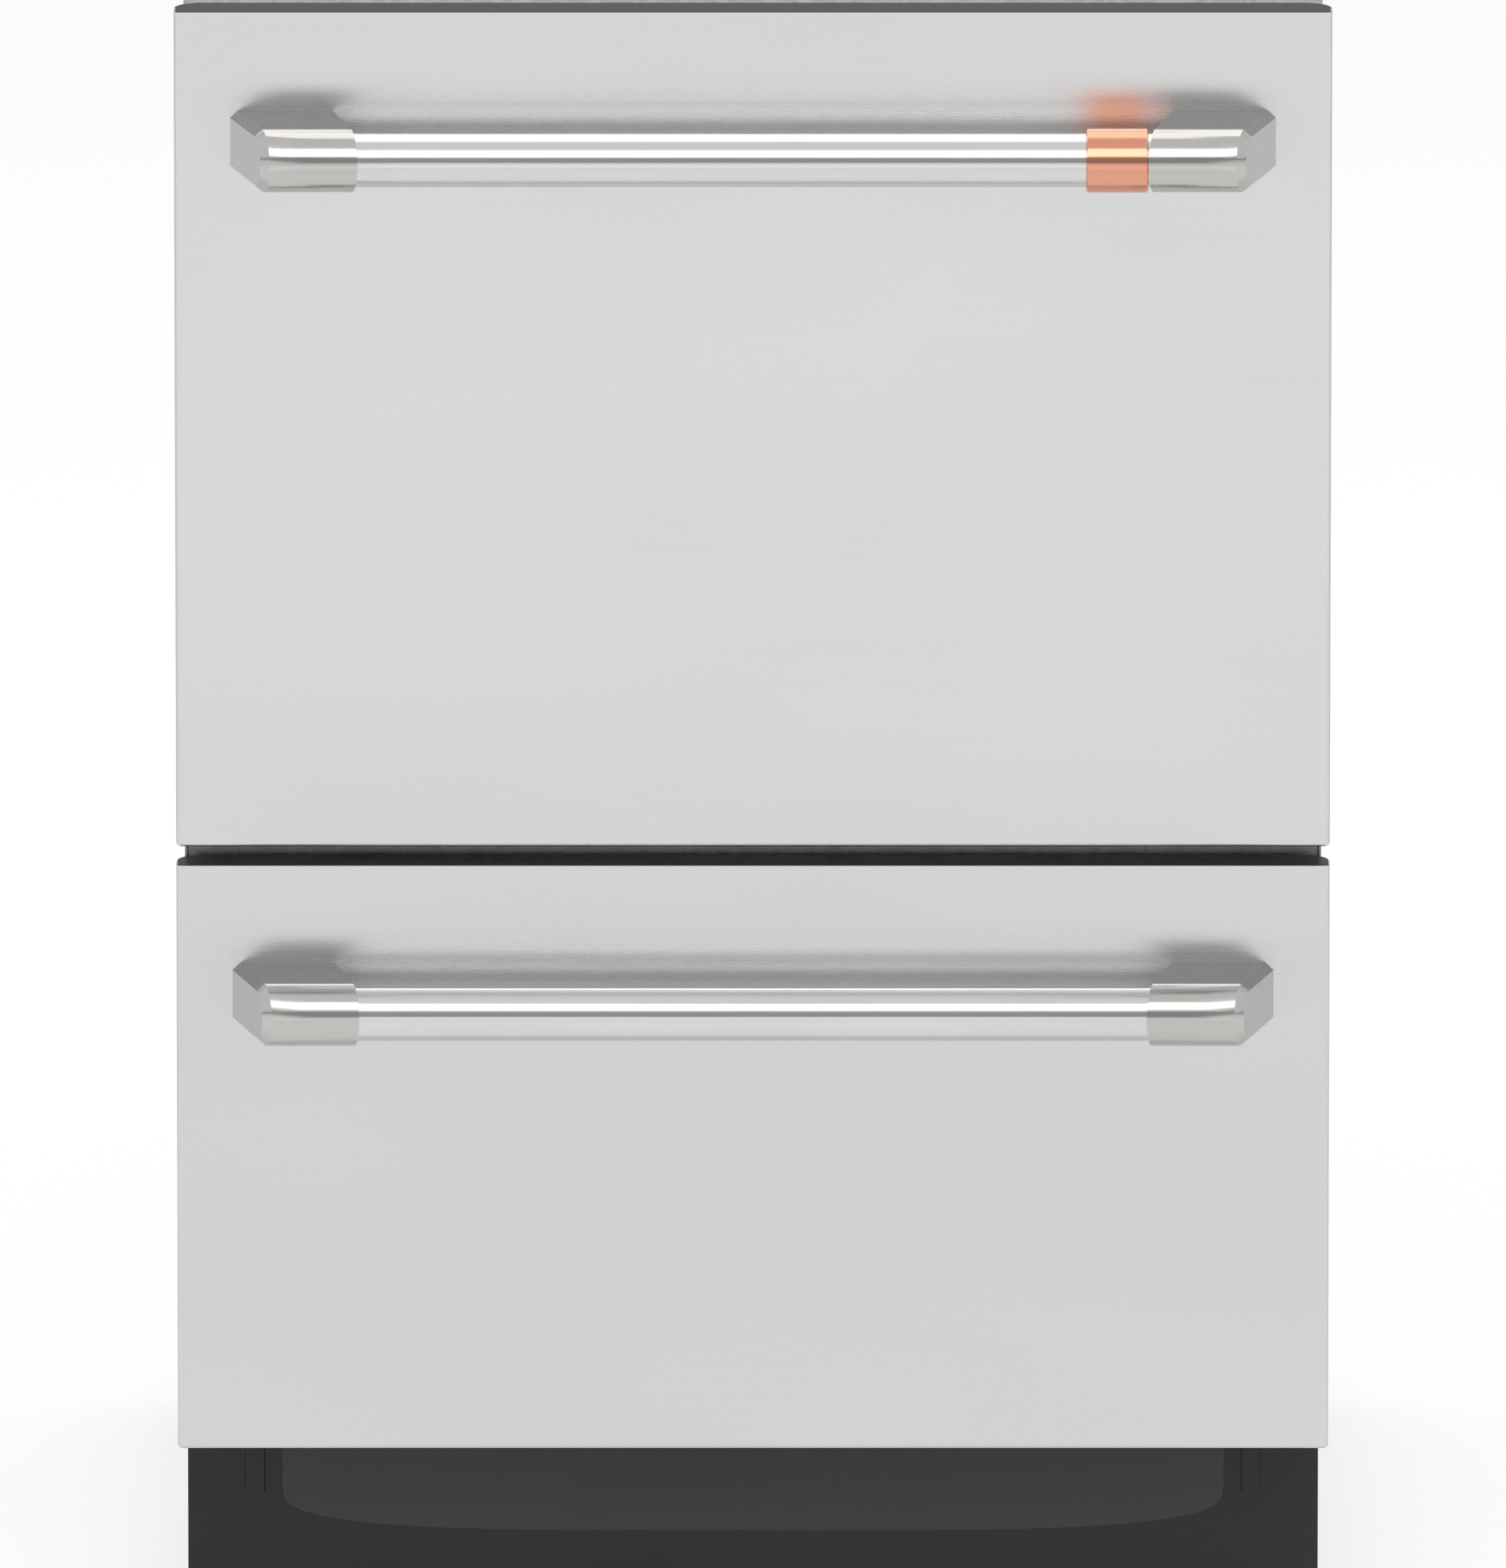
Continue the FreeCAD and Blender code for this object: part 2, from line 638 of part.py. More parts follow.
def basket_posts(drawer):
    posts = []
    top = drawer.basket_floor - WIRE_RADIUS * math.cos(math.pi / WIRE_SIDES)
    for y0 in (BASKET_FRONT_Y + BASKET_POST, BASKET_BACK_Y - 2 * BASKET_POST):
        x1 = BASKET_HALF - BASKET_DRAFT
        foot = block(x1 - BASKET_POST, x1, y0, y0 + BASKET_POST, drawer.floor_top - TUB_WALL / 2, top)
        posts += both_sides(foot)
    return posts


def inner_runners(drawer):
    web_in = RUNNER_LIP + RUNNER_STEP
    lip_in = 2 * (RUNNER_METAL + RUNNER_STEP) + RUNNER_STEP
    half = RUNNER_HEIGHT / 2 - 2 * (RUNNER_METAL + RUNNER_STEP)
    profile = channel_profile(web_in + RUNNER_METAL, lip_in, half, drawer.runner_z, -1)
    return group(both_sides(along(profile, RUNNER_FRONT_Y, RUNNER_FRONT_Y + RUNNER_INNER_LENGTH)))


def middle_runners(drawer):
    half = RUNNER_HEIGHT / 2 - RUNNER_METAL - RUNNER_STEP
    profile = channel_profile(RUNNER_METAL + RUNNER_STEP, RUNNER_LIP, half, drawer.runner_z, 1)
    return group(both_sides(along(profile, RUNNER_FRONT_Y, RUNNER_FRONT_Y + RUNNER_LENGTH)))


def outer_runners():
    rails = []
    for drawer in (UPPER, LOWER):
        profile = channel_profile(0, RUNNER_LIP, RUNNER_HEIGHT / 2, drawer.runner_z, 1)
        rail = along(profile, RUNNER_FRONT_Y, RUNNER_FRONT_Y + RUNNER_LENGTH)
        rails += both_sides(rail)
    return group(rails)


def channel_profile(web, lip_end, half, middle_z, way):
    """A C section given by its distances in from the chassis side, lips towards lip_end."""
    metal = RUNNER_METAL
    pairs = [(web, -half), (lip_end, -half), (lip_end, -half + metal), (web + way * metal, -half + metal),
             (web + way * metal, half - metal), (lip_end, half - metal), (lip_end, half), (web, half)]
    return [(CHASSIS_INSIDE - inward, middle_z + up) for inward, up in pairs]


def filter_plate(drawer):
    slope = (SUMP_TOP_RADIUS - SUMP_BOTTOM_RADIUS) / SUMP_DEPTH
    low_radius = SUMP_TOP_RADIUS - TUB_WALL * slope - TOUCH_GAP
    high_radius = low_radius + FILTER_PLATE * slope
    low = drawer.floor_top - FILTER_PLATE
    plate = turned(0, TUB_MIDDLE_Y, [(low, low_radius), (drawer.floor_top, high_radius)])
    tower = drum(0, TUB_MIDDLE_Y, low, drawer.floor_top + TOWER_HEIGHT, TOWER_RADIUS)
    bore = drum(0, TUB_MIDDLE_Y, low - FILTER_PLATE, drawer.floor_top + 2 * TOWER_HEIGHT, TOWER_BORE,
                PIN_SIDES)
    slots = []
    start = SUMP_BOTTOM_RADIUS - FILTER_SLOT_LENGTH / 2
    for index in range(FILTER_SLOTS):
        slot = block(start, start + FILTER_SLOT_LENGTH, -FILTER_SLOT_WIDTH / 2, FILTER_SLOT_WIDTH / 2,
                     low - FILTER_PLATE, drawer.floor_top + FILTER_PLATE)
        slot.rotate(Vector(0, 0, 0), Vector(0, 0, 1), 360.0 * index / FILTER_SLOTS)
        slot.translate(Vector(0, TUB_MIDDLE_Y, 0))
        slots.append(slot)
    return cut(join([plate, tower]), slots + [bore])


def impeller_base(drawer):
    return drawer.sump_bottom + 2 * TUB_WALL


def impeller(drawer):
    """A wet rotor: it turns on the spindle in the sump, driven through the sump's closed floor."""
    base = impeller_base(drawer)
    blade_top = base + SUMP_DEPTH / 3
    hub_radius = SPINDLE_RADIUS * 2.5
    disc_top = base + TUB_WALL
    pieces = [drum(0, TUB_MIDDLE_Y, base, disc_top, IMPELLER_RADIUS),
              drum(0, TUB_MIDDLE_Y, base, blade_top, hub_radius, PIN_SIDES)]
    for index in range(IMPELLER_BLADES):
        blade = block(hub_radius * 0.8, IMPELLER_RADIUS - SPINDLE_RADIUS / 2, -SPINDLE_RADIUS / 4,
                      SPINDLE_RADIUS / 4, base, blade_top)
        blade.rotate(Vector(hub_radius * 0.8, 0, 0), Vector(0, 0, 1), -24.0)
        blade.rotate(Vector(0, 0, 0), Vector(0, 0, 1), 360.0 * index / IMPELLER_BLADES)
        blade.translate(Vector(0, TUB_MIDDLE_Y, 0))
        pieces.append(blade)
    bore = drum(0, TUB_MIDDLE_Y, base - TUB_WALL, base + SUMP_DEPTH / 4 + TOUCH_GAP,
                round_clear(SPINDLE_RADIUS + SPINDLE_CLEARANCE, PIN_SIDES), PIN_SIDES)
    return cut(join(pieces), [bore])


def wash_motor(drawer):
    """The stator under the sump, with the drain pump and the terminals on its sides."""
    top = drawer.sump_bottom
    low = top - MOTOR_HEIGHT
    can = drum(0, TUB_MIDDLE_Y, low, top, MOTOR_RADIUS)
    shoulder = drum(0, TUB_MIDDLE_Y, top - MOTOR_HEIGHT / 4, top, SUMP_BOTTOM_RADIUS)
    pump_radius = MOTOR_HEIGHT / 2.4
    pump_z = top - pump_radius - TUB_WALL
    drain_pump = bar_y(0, TUB_MIDDLE_Y, TUB_MIDDLE_Y + SUMP_TOP_RADIUS, pump_z, pump_radius)
    terminals = block(-MOTOR_RADIUS - TUB_RIM, 0, TUB_MIDDLE_Y - MOTOR_RADIUS / 2,
                      TUB_MIDDLE_Y + MOTOR_RADIUS / 2, low + TUB_WALL, top - TUB_WALL)
    return join([can, shoulder, drain_pump, terminals])


def spray_arm(drawer):
    base = drawer.floor_top + TUB_WALL
    bore_radius = TOWER_RADIUS + ARM_CLEARANCE
    hub_radius = bore_radius + ARM_HUB_WALL
    bore_top = drawer.floor_top + TOWER_HEIGHT + ARM_CLEARANCE
    top = bore_top + ARM_HUB_WALL
    arm_low = top - ARM_HEIGHT - ARM_CLEARANCE
    hub = drum(0, TUB_MIDDLE_Y, base, top, hub_radius)
    bore = drum(0, TUB_MIDDLE_Y, base - TUB_WALL, bore_top, round_clear(bore_radius, TURNED_SIDES))
    pieces = [hub]
    jets = []
    for way in (1, -1):
        root = arm_section(way * TOWER_RADIUS, ARM_ROOT_WIDTH, arm_low)
        tip = arm_section(way * ARM_LENGTH, ARM_TIP_WIDTH, arm_low)
        pieces.append(skinned([root, tip]))
        for index in range(JETS_PER_SIDE):
            reach = way * (ARM_LENGTH - ARM_TIP_WIDTH) * (index + 1.2) / (JETS_PER_SIDE + 0.4)
            jet = block(reach - TUB_WALL, reach + TUB_WALL, TUB_MIDDLE_Y - PIN_RADIUS / 2,
                        TUB_MIDDLE_Y + PIN_RADIUS / 2, arm_low + TUB_WALL, top + TUB_WALL)
            jets.append(jet)
    return cut(join(pieces), [bore] + jets)


def arm_section(x, width, low):
    """A six-sided section, flat below and crowned above, that keeps its proportions."""
    half = width / 2
    height = ARM_HEIGHT * width / ARM_ROOT_WIDTH
    pairs = [(-half * 0.8, 0), (half * 0.8, 0), (half, height * 0.4), (half * 0.5, height),
             (-half * 0.5, height), (-half, height * 0.4)]
    return [Vector(x, TUB_MIDDLE_Y + side, low + up) for side, up in pairs]


def dispenser(drawer):
    """Detergent cup with a door seat, and a rinse aid cap beside it."""
    wall_y = TUB_FRONT_Y + TUB_WALL
    face_y = wall_y + DISPENSER_DEPTH
    low, high = dispenser_heights(drawer)
    body = along(eased_rectangle(-DISPENSER_WIDTH / 2, DISPENSER_WIDTH / 2, low, high, TUB_WALL * 2, 2),
                 wall_y, face_y)
    cup_x, cup_z = detergent_cup(drawer)
    cup = block(cup_x - DETERGENT_WIDTH / 2, cup_x + DETERGENT_WIDTH / 2, wall_y + TUB_WALL,
                face_y + TUB_WALL, cup_z - DETERGENT_HEIGHT / 2, cup_z + DETERGENT_HEIGHT / 2)
    cap_radius = DISPENSER_HEIGHT / 4
    cap = bar_y(DISPENSER_WIDTH / 4 + TUB_WALL, face_y - TUB_WALL, face_y + TUB_WALL,
                (low + high) / 2, cap_radius)
    knuckle_z = cup_z - DETERGENT_HEIGHT / 2 - PIN_RADIUS
    ears = []
    for side in (-1, 1):
        ear_x = cup_x + side * (DETERGENT_WIDTH / 2 + PIN_RADIUS)
        ears.append(block(ear_x - PIN_RADIUS / 2, ear_x + PIN_RADIUS / 2, face_y - TUB_WALL,
                          face_y + 2 * PIN_RADIUS, knuckle_z - PIN_RADIUS, knuckle_z + PIN_RADIUS))
    hinge_y = face_y + PIN_RADIUS + TOUCH_GAP
    pin_hole = bar_x(cup_x - DISPENSER_WIDTH / 2, cup_x + DETERGENT_WIDTH, hinge_y, knuckle_z,
                     round_clear(PIN_RADIUS / 2 + TOUCH_GAP, PIN_SIDES))
    return cut(join([body, cap] + ears), [cup, pin_hole])


def dispenser_heights(drawer):
    high = drawer.rim_top - DISPENSER_HEIGHT / 2
    return high - DISPENSER_HEIGHT, high


def detergent_cup(drawer):
    low, high = dispenser_heights(drawer)
    return -DISPENSER_WIDTH / 2 + DETERGENT_WIDTH / 2 + 3 * TUB_WALL, (low + high) / 2 + TUB_WALL


def dispenser_door(drawer):
    face_y = TUB_FRONT_Y + TUB_WALL + DISPENSER_DEPTH
    cup_x, cup_z = detergent_cup(drawer)
    half = DETERGENT_WIDTH / 2 + PIN_RADIUS / 2 - TOUCH_GAP
    hinge_y = face_y + PIN_RADIUS + TOUCH_GAP
    hinge_z = cup_z - DETERGENT_HEIGHT / 2 - PIN_RADIUS
    plate = block(cup_x - half, cup_x + half, face_y + TOUCH_GAP, face_y + TOUCH_GAP + DISPENSER_DOOR,
                  hinge_z, cup_z + DETERGENT_HEIGHT / 2 + PIN_RADIUS)
    latch = block(cup_x - PIN_RADIUS * 2, cup_x + PIN_RADIUS * 2, face_y + TOUCH_GAP,
                  face_y + TOUCH_GAP + DISPENSER_DOOR * 2, cup_z + DETERGENT_HEIGHT / 4,
                  cup_z + DETERGENT_HEIGHT / 4 + PIN_RADIUS)
    knuckle = bar_x(cup_x - half, cup_x + half, hinge_y, hinge_z, PIN_RADIUS)
    pin_half = DETERGENT_WIDTH / 2 + PIN_RADIUS * 1.5
    pin = bar_x(cup_x - pin_half, cup_x + pin_half, hinge_y, hinge_z, PIN_RADIUS / 2)
    return join([plate, latch, knuckle, pin])


# Baskets

def wire_flat(radius):
    return radius * math.cos(math.pi / WIRE_SIDES)


def wire_levels(drawer):
    """Heights of the crossing floor wires: the upper layer is welded on the lower one."""
    first = drawer.basket_floor
    return first, first + 2 * wire_flat(WIRE_RADIUS)


def basket(drawer):
    half = BASKET_HALF
    front, back = BASKET_FRONT_Y, BASKET_BACK_Y
    rim_z = drawer.basket_rim
    first, second = wire_levels(drawer)
    wires = []
    lean = BASKET_DRAFT
    spread_y = (back - front - 2 * BASKET_POST) / (WIRES_ACROSS - 1)
    for index in range(WIRES_ACROSS):
        y = front + BASKET_POST + index * spread_y
        path = [Vector(-half, y, rim_z), Vector(-half + lean, y, first),
                Vector(half - lean, y, first), Vector(half, y, rim_z)]
        wires.append(bent_wire(path, Vector(0, 1, 0), WIRE_RADIUS))
    spread_x = (2 * half - 4 * BASKET_POST) / (WIRES_ALONG - 1)
    for index in range(WIRES_ALONG):
        x = -half + 2 * BASKET_POST + index * spread_x
        path = [Vector(x, front, rim_z), Vector(x, front + lean, second),
                Vector(x, back - lean, second), Vector(x, back, rim_z)]
        wires.append(bent_wire(path, Vector(1, 0, 0), WIRE_RADIUS))
    clip = BASKET_POST
    loop = [(-half + clip, front), (half - clip, front), (half, front + clip), (half, back - clip),
            (half - clip, back), (-half + clip, back), (-half, back - clip), (-half, front + clip)]
    rim = [Vector(x, y, rim_z) for x, y in loop]
    wires.append(bent_wire(rim, Vector(0, 0, 1), RIM_WIRE_RADIUS, True))
    if drawer is UPPER:
        wires += cup_rack_rails(drawer)
    return join(wires)


def cup_rack_axis(drawer):
    """The hinge wire of the cup rack runs along the left side, clear of the side wires."""
    z = drawer.basket_rim - CUP_RACK_DROP
    lean = BASKET_DRAFT * CUP_RACK_DROP / (drawer.basket_rim - drawer.basket_floor)
    x = -BASKET_HALF + lean + WIRE_RADIUS + wire_flat(WIRE_RADIUS) - TOUCH_GAP
    return x, z


def cup_rack_rails(drawer):
    x, z = cup_rack_axis(drawer)
    path = [Vector(x, BASKET_FRONT_Y + BASKET_POST - WIRE_RADIUS, z),
            Vector(x, BASKET_BACK_Y - BASKET_POST + WIRE_RADIUS, z)]
    return [bent_wire(path, Vector(1, 0, 0), WIRE_RADIUS)]


def cup_rack(drawer):
    """A slotted shelf that clips round its hinge wire and folds up against the side."""
    x, z = cup_rack_axis(drawer)
    middle = (BASKET_FRONT_Y + BASKET_BACK_Y) / 2
    y0 = middle - CUP_RACK_LENGTH / 2
    y1 = middle + CUP_RACK_LENGTH / 2
    bore = WIRE_RADIUS + TOUCH_GAP
    knuckle_radius = bore + WIRE_RADIUS
    shelf = block(x + knuckle_radius, x + knuckle_radius + CUP_RACK_WIDTH, y0, y1,
                  z - CUP_RACK_THICKNESS / 2, z + CUP_RACK_THICKNESS / 2)
    pitch = CUP_RACK_LENGTH / CUP_SLOTS
    slots = []
    for index in range(CUP_SLOTS):
        start = y0 + (index + 0.25) * pitch
        slots.append(block(x + CUP_RACK_WIDTH / 3, x + CUP_RACK_WIDTH * 0.92, start, start + pitch / 2,
                           z - CUP_RACK_THICKNESS, z + CUP_RACK_THICKNESS))
    shelf = cut(shelf, slots)
    spread_y = (BASKET_BACK_Y - BASKET_FRONT_Y - 2 * BASKET_POST) / (WIRES_ACROSS - 1)
    knuckles = []
    for index in (-1, 0):
        gap_middle = middle + (index + 0.5) * spread_y
        arm = block(x, x + knuckle_radius + TUB_WALL, gap_middle - BASKET_POST / 2,
                    gap_middle + BASKET_POST / 2, z - CUP_RACK_THICKNESS / 2, z + CUP_RACK_THICKNESS / 2)
        knuckles.append(arm)
        knuckles.append(bar_y(x, gap_middle - BASKET_POST / 2, gap_middle + BASKET_POST / 2, z,
                              knuckle_radius))
    hinge_hole = bar_y(x, y0 - BASKET_POST, y1 + BASKET_POST, z, round_clear(bore, PIN_SIDES))
    return cut(join([shelf] + knuckles), [hinge_hole])


def tine_axis(drawer):
    _, second = wire_levels(drawer)
    y = TUB_MIDDLE_Y + BASKET_POST
    z = second + wire_flat(WIRE_RADIUS) + RIM_WIRE_RADIUS + TOUCH_GAP
    return y, z


def folding_tines(drawer):
    """A round bar that turns on the floor wires, with a row of tines welded on top."""
    y, z = tine_axis(drawer)
    half = TINE_PITCH * (TINE_COUNT - 1) / 2 + RIM_WIRE_RADIUS * 2
    wires = [bent_wire([Vector(-half, y, z), Vector(half, y, z)], Vector(0, 1, 0), RIM_WIRE_RADIUS)]
    height = min(TINE_HEIGHT, drawer.rim_top - z - LID_HEIGHT)
    foot = z + wire_flat(RIM_WIRE_RADIUS)
    for index in range(TINE_COUNT):
        x = (index - (TINE_COUNT - 1) / 2) * TINE_PITCH
        path = [Vector(x, y, foot), Vector(x, y, z + height)]
        wires.append(bent_wire(path, Vector(0, 1, 0), TINE_RADIUS))
    return group(wires)


def cutlery_basket(drawer):
    """An open moulded basket that stands on the floor wires at the right."""
    _, second = wire_levels(drawer)
    low = second + wire_flat(WIRE_RADIUS)
    x1 = BASKET_HALF - BASKET_DRAFT * 2 - RIM_WIRE_RADIUS
    x0 = x1 - CUTLERY_WIDTH
    y0 = BASKET_FRONT_Y + BASKET_DRAFT * 2
    y1 = y0 + CUTLERY_LENGTH
    wall = CUTLERY_WALL
    body = upright(eased_rectangle(x0, x1, y0, y1, wall * 2, 2), low, low + CUTLERY_HEIGHT)
    columns, rows = 2, 4
    step_x = (CUTLERY_WIDTH - wall) / columns
    step_y = (CUTLERY_LENGTH - wall) / rows
    pockets = []
    for column in range(columns):
        for row in range(rows):
            px = x0 + wall + column * step_x
            py = y0 + wall + row * step_y
            pockets.append(block(px, px + step_x - wall, py, py + step_y - wall, low + wall,
                                 low + CUTLERY_HEIGHT + wall))
    return cut(body, pockets)


# Lids and the mechanism that lowers them

def lid(drawer):
    body = eased_slab(-LID_HALF, LID_HALF, LID_FRONT_Y, LID_BACK_Y, drawer.lid_bottom, drawer.lid_top,
                        LID_CORNER)
    cells = []
    span_x = 2 * (LID_HALF - LID_WALL)
    span_y = LID_BACK_Y - LID_FRONT_Y - 2 * LID_WALL
    step_x = (span_x + LID_WALL) / LID_CELLS_ACROSS
    step_y = (span_y + LID_WALL) / LID_CELLS_DEEP
    for column in range(LID_CELLS_ACROSS):
        for row in range(LID_CELLS_DEEP):
            x0 = -LID_HALF + LID_WALL + column * step_x
            y0 = LID_FRONT_Y + LID_WALL + row * step_y
            cells.append(block(x0, x0 + step_x - LID_WALL, y0, y0 + step_y - LID_WALL,
                               drawer.lid_bottom + LID_WALL, drawer.lid_top + LID_WALL))
    liner = eased_slab(-LID_HALF + LID_WALL, LID_HALF - LID_WALL, LID_FRONT_Y + LID_WALL,
                         LID_BACK_Y - LID_WALL, drawer.lid_bottom, drawer.lid_top + LID_WALL,
                         LID_CORNER - LID_WALL)
    hollow = group(cells).common(liner)
    pins = []
    for y in PIN_PLACES_Y:
        pins += both_sides(bar_x(LID_HALF - LID_WALL, CHANNEL_WEB_X + CHANNEL_METAL + PIN_RADIUS, y,
                                 drawer.pin_z, PIN_RADIUS))
    return join([body.cut(hollow)] + pins)


def lid_seal(drawer):
    edge = LID_HALF_GAP
    outer = eased_slab(-LID_HALF + edge, LID_HALF - edge, LID_FRONT_Y + edge, LID_BACK_Y - edge,
                         drawer.seal_bottom, drawer.lid_bottom, LID_CORNER - edge)
    inset = edge + SEAL_WIDTH
    inner = eased_slab(-LID_HALF + inset, LID_HALF - inset, LID_FRONT_Y + inset, LID_BACK_Y - inset,
                         drawer.seal_bottom - edge, drawer.lid_bottom + edge, LID_CORNER - inset)
    return outer.cut(inner)


def sloping_slot(x0, x1, y, z, run, drop, half):
    """A slot from (y, z) that runs forward and down, wide enough for a pin."""
    way = Vector(0, -run, -drop).normalize() * half
    side = Vector(0, way.z, -way.y)
    start = Vector(x0, y, z) - way
    end = Vector(x0, y - run, z - drop) + way
    corners = [start + side, end + side, end - side, start - side]
    return polygon(corners).extrude(Vector(x1 - x0, 0, 0))


def link_rear_y():
    return LID_BACK_Y - LINK_HEIGHT


def lid_links(drawer):
    """The two sliding bars: each sloping slot pushes a lid pin down as the bar goes back."""
    front_y = PIN_PLACES_Y[0] - LINK_TRAVEL - LINK_HEIGHT / 2
    rear_y = link_rear_y()
    middle = drawer.pin_z - LID_DROP / 2
    bar = block(LINK_X, LINK_X + LINK_THICKNESS, front_y, rear_y, middle - LINK_HEIGHT / 2,
                middle + LINK_HEIGHT / 2)
    slots = []
    for y in PIN_PLACES_Y:
        slots.append(sloping_slot(LINK_X - LINK_THICKNESS, LINK_X + 2 * LINK_THICKNESS, y,
                                  drawer.pin_z, LINK_TRAVEL, LID_DROP, PIN_RADIUS + SLOT_CLEARANCE))
    rod = block(LINK_X, LINK_X + LINK_THICKNESS, rear_y - LINK_THICKNESS,
                rear_y + LINK_TRAVEL + ROD_REACH, middle - ROD_HEIGHT / 2,
                middle + ROD_HEIGHT / 2)
    bar = join([cut(bar, slots), rod])
    return group(both_sides(bar))


def guide_channels():
    """Fixed channels on the chassis sides, with upright slots for the lid pins."""
    rails = []
    for drawer in (UPPER, LOWER):
        middle = drawer.pin_z - LID_DROP / 2
        half = LINK_HEIGHT / 2 + TOUCH_GAP
        metal = CHANNEL_METAL
        web = CHANNEL_WEB_X
        profile = [(web, middle - half), (web - CHANNEL_LEDGE, middle - half),
                   (web - CHANNEL_LEDGE, middle - half - metal), (CHASSIS_INSIDE, middle - half - metal),
                   (CHASSIS_INSIDE, middle - half), (web + metal, middle - half),
                   (web + metal, middle + half), (CHASSIS_INSIDE, middle + half),
                   (CHASSIS_INSIDE, middle + half + metal), (web - CHANNEL_LEDGE, middle + half + metal),
                   (web - CHANNEL_LEDGE, middle + half), (web, middle + half)]
        front_y = PIN_PLACES_Y[0] - LINK_TRAVEL - LINK_HEIGHT
        rail = along(profile, front_y, link_rear_y() + LINK_TRAVEL)
        slots = []
        for y in PIN_PLACES_Y:
            reach = PIN_RADIUS + SLOT_CLEARANCE
            slots.append(block(web - LINK_THICKNESS, web + 2 * metal, y - reach, y + reach,
                               drawer.pin_z - LID_DROP - reach, drawer.pin_z + reach))
        rails += both_sides(cut(rail, slots))
    return group(rails)


def lid_actuators():
    """Small motor boxes behind the link bars, one at each side of each lid."""
    boxes = []
    for drawer in (UPPER, LOWER):
        middle = drawer.pin_z - LID_DROP / 2
        front_y = link_rear_y() + LINK_TRAVEL + TOUCH_GAP
        box = block(LINK_X - LINK_THICKNESS, CHASSIS_INSIDE, front_y, BACK_Y - 2 * SHEET,
                    middle - LINK_HEIGHT / 2, middle + LINK_HEIGHT / 2)
        reach = ROD_HEIGHT / 2 + SLOT_CLEARANCE
        bore = block(LINK_X - SLOT_CLEARANCE, LINK_X + LINK_THICKNESS + SLOT_CLEARANCE,
                     front_y - TUB_WALL, front_y + LINK_TRAVEL + ROD_REACH + SLOT_CLEARANCE,
                     middle - reach, middle + reach)
        boxes += both_sides(cut(box, [bore]))
    return group(boxes)


# Chassis

def side_panel():
    """The right side: notched at the toe, flanged at the back, stiffened by pressed beads."""
    back = BACK_Y
    outline = [(CHASSIS_FRONT_Y, CHASSIS_TOP), (CHASSIS_FRONT_Y, NOTCH_Z), (SIDE_LOW_FRONT_Y, NOTCH_Z),
               (SIDE_LOW_FRONT_Y, BASE_HEIGHT), (back, BASE_HEIGHT), (back, CHASSIS_TOP)]
    sheet = across(outline, CHASSIS_INSIDE, CHASSIS_HALF)
    flange = block(CHASSIS_INSIDE - FLANGE, CHASSIS_HALF, back - SHEET, back, BAY_TOP, CHASSIS_TOP)
    beads = []
    bead_low = NOTCH_Z + 3 * BEAD_WIDTH
    bead_high = CHASSIS_TOP - 3 * BEAD_WIDTH
    span = BACK_Y - CHASSIS_FRONT_Y
    for share in (0.2, 0.5, 0.8):
        y = CHASSIS_FRONT_Y + share * span
        plan = [(CHASSIS_HALF, y - BEAD_WIDTH / 2), (CHASSIS_HALF, y + BEAD_WIDTH / 2),
                (CHASSIS_HALF + BEAD_HEIGHT, y + BEAD_WIDTH / 2 - 2 * BEAD_HEIGHT),
                (CHASSIS_HALF + BEAD_HEIGHT, y - BEAD_WIDTH / 2 + 2 * BEAD_HEIGHT)]
        beads.append(upright(plan, bead_low, bead_high))
    return join([sheet, flange] + beads)


def back_panel():
    """A folded sheet: upright above, stepped forward round the service bay."""
    outer = BACK_Y - SHEET
    inner = outer - SHEET
    bay_outer = BAY_Y
    bay_inner = BAY_Y - SHEET
    profile = [(outer, CHASSIS_TOP - SHEET), (outer, BAY_TOP), (bay_outer, BAY_TOP), (bay_outer, TRAY_TOP),
               (bay_inner, TRAY_TOP), (bay_inner, BAY_TOP + SHEET), (inner, BAY_TOP + SHEET),
               (inner, CHASSIS_TOP - SHEET)]
    sheet = across(profile, -CHASSIS_INSIDE, CHASSIS_INSIDE)
    holes = [bar_y(VALVE_X, bay_inner - SHEET, bay_outer + SHEET, SERVICE_HEIGHT, VALVE_THREAD_RADIUS / 2),
             bar_y(DRAIN_X, bay_inner - SHEET, bay_outer + SHEET, SERVICE_HEIGHT, DRAIN_RADIUS),
             bar_y(GLAND_X, bay_inner - SHEET, bay_outer + SHEET, SERVICE_HEIGHT, GLAND_RADIUS - SHEET * 2)]
    vents = []
    for index in range(6):
        z = CHASSIS_TOP - FLANGE * (3 + index)
        vents.append(block(-BEAD_WIDTH * 3, BEAD_WIDTH * 3, inner - SHEET, outer + SHEET, z,
                           z + FLANGE / 4))
    return cut(sheet, holes + vents)


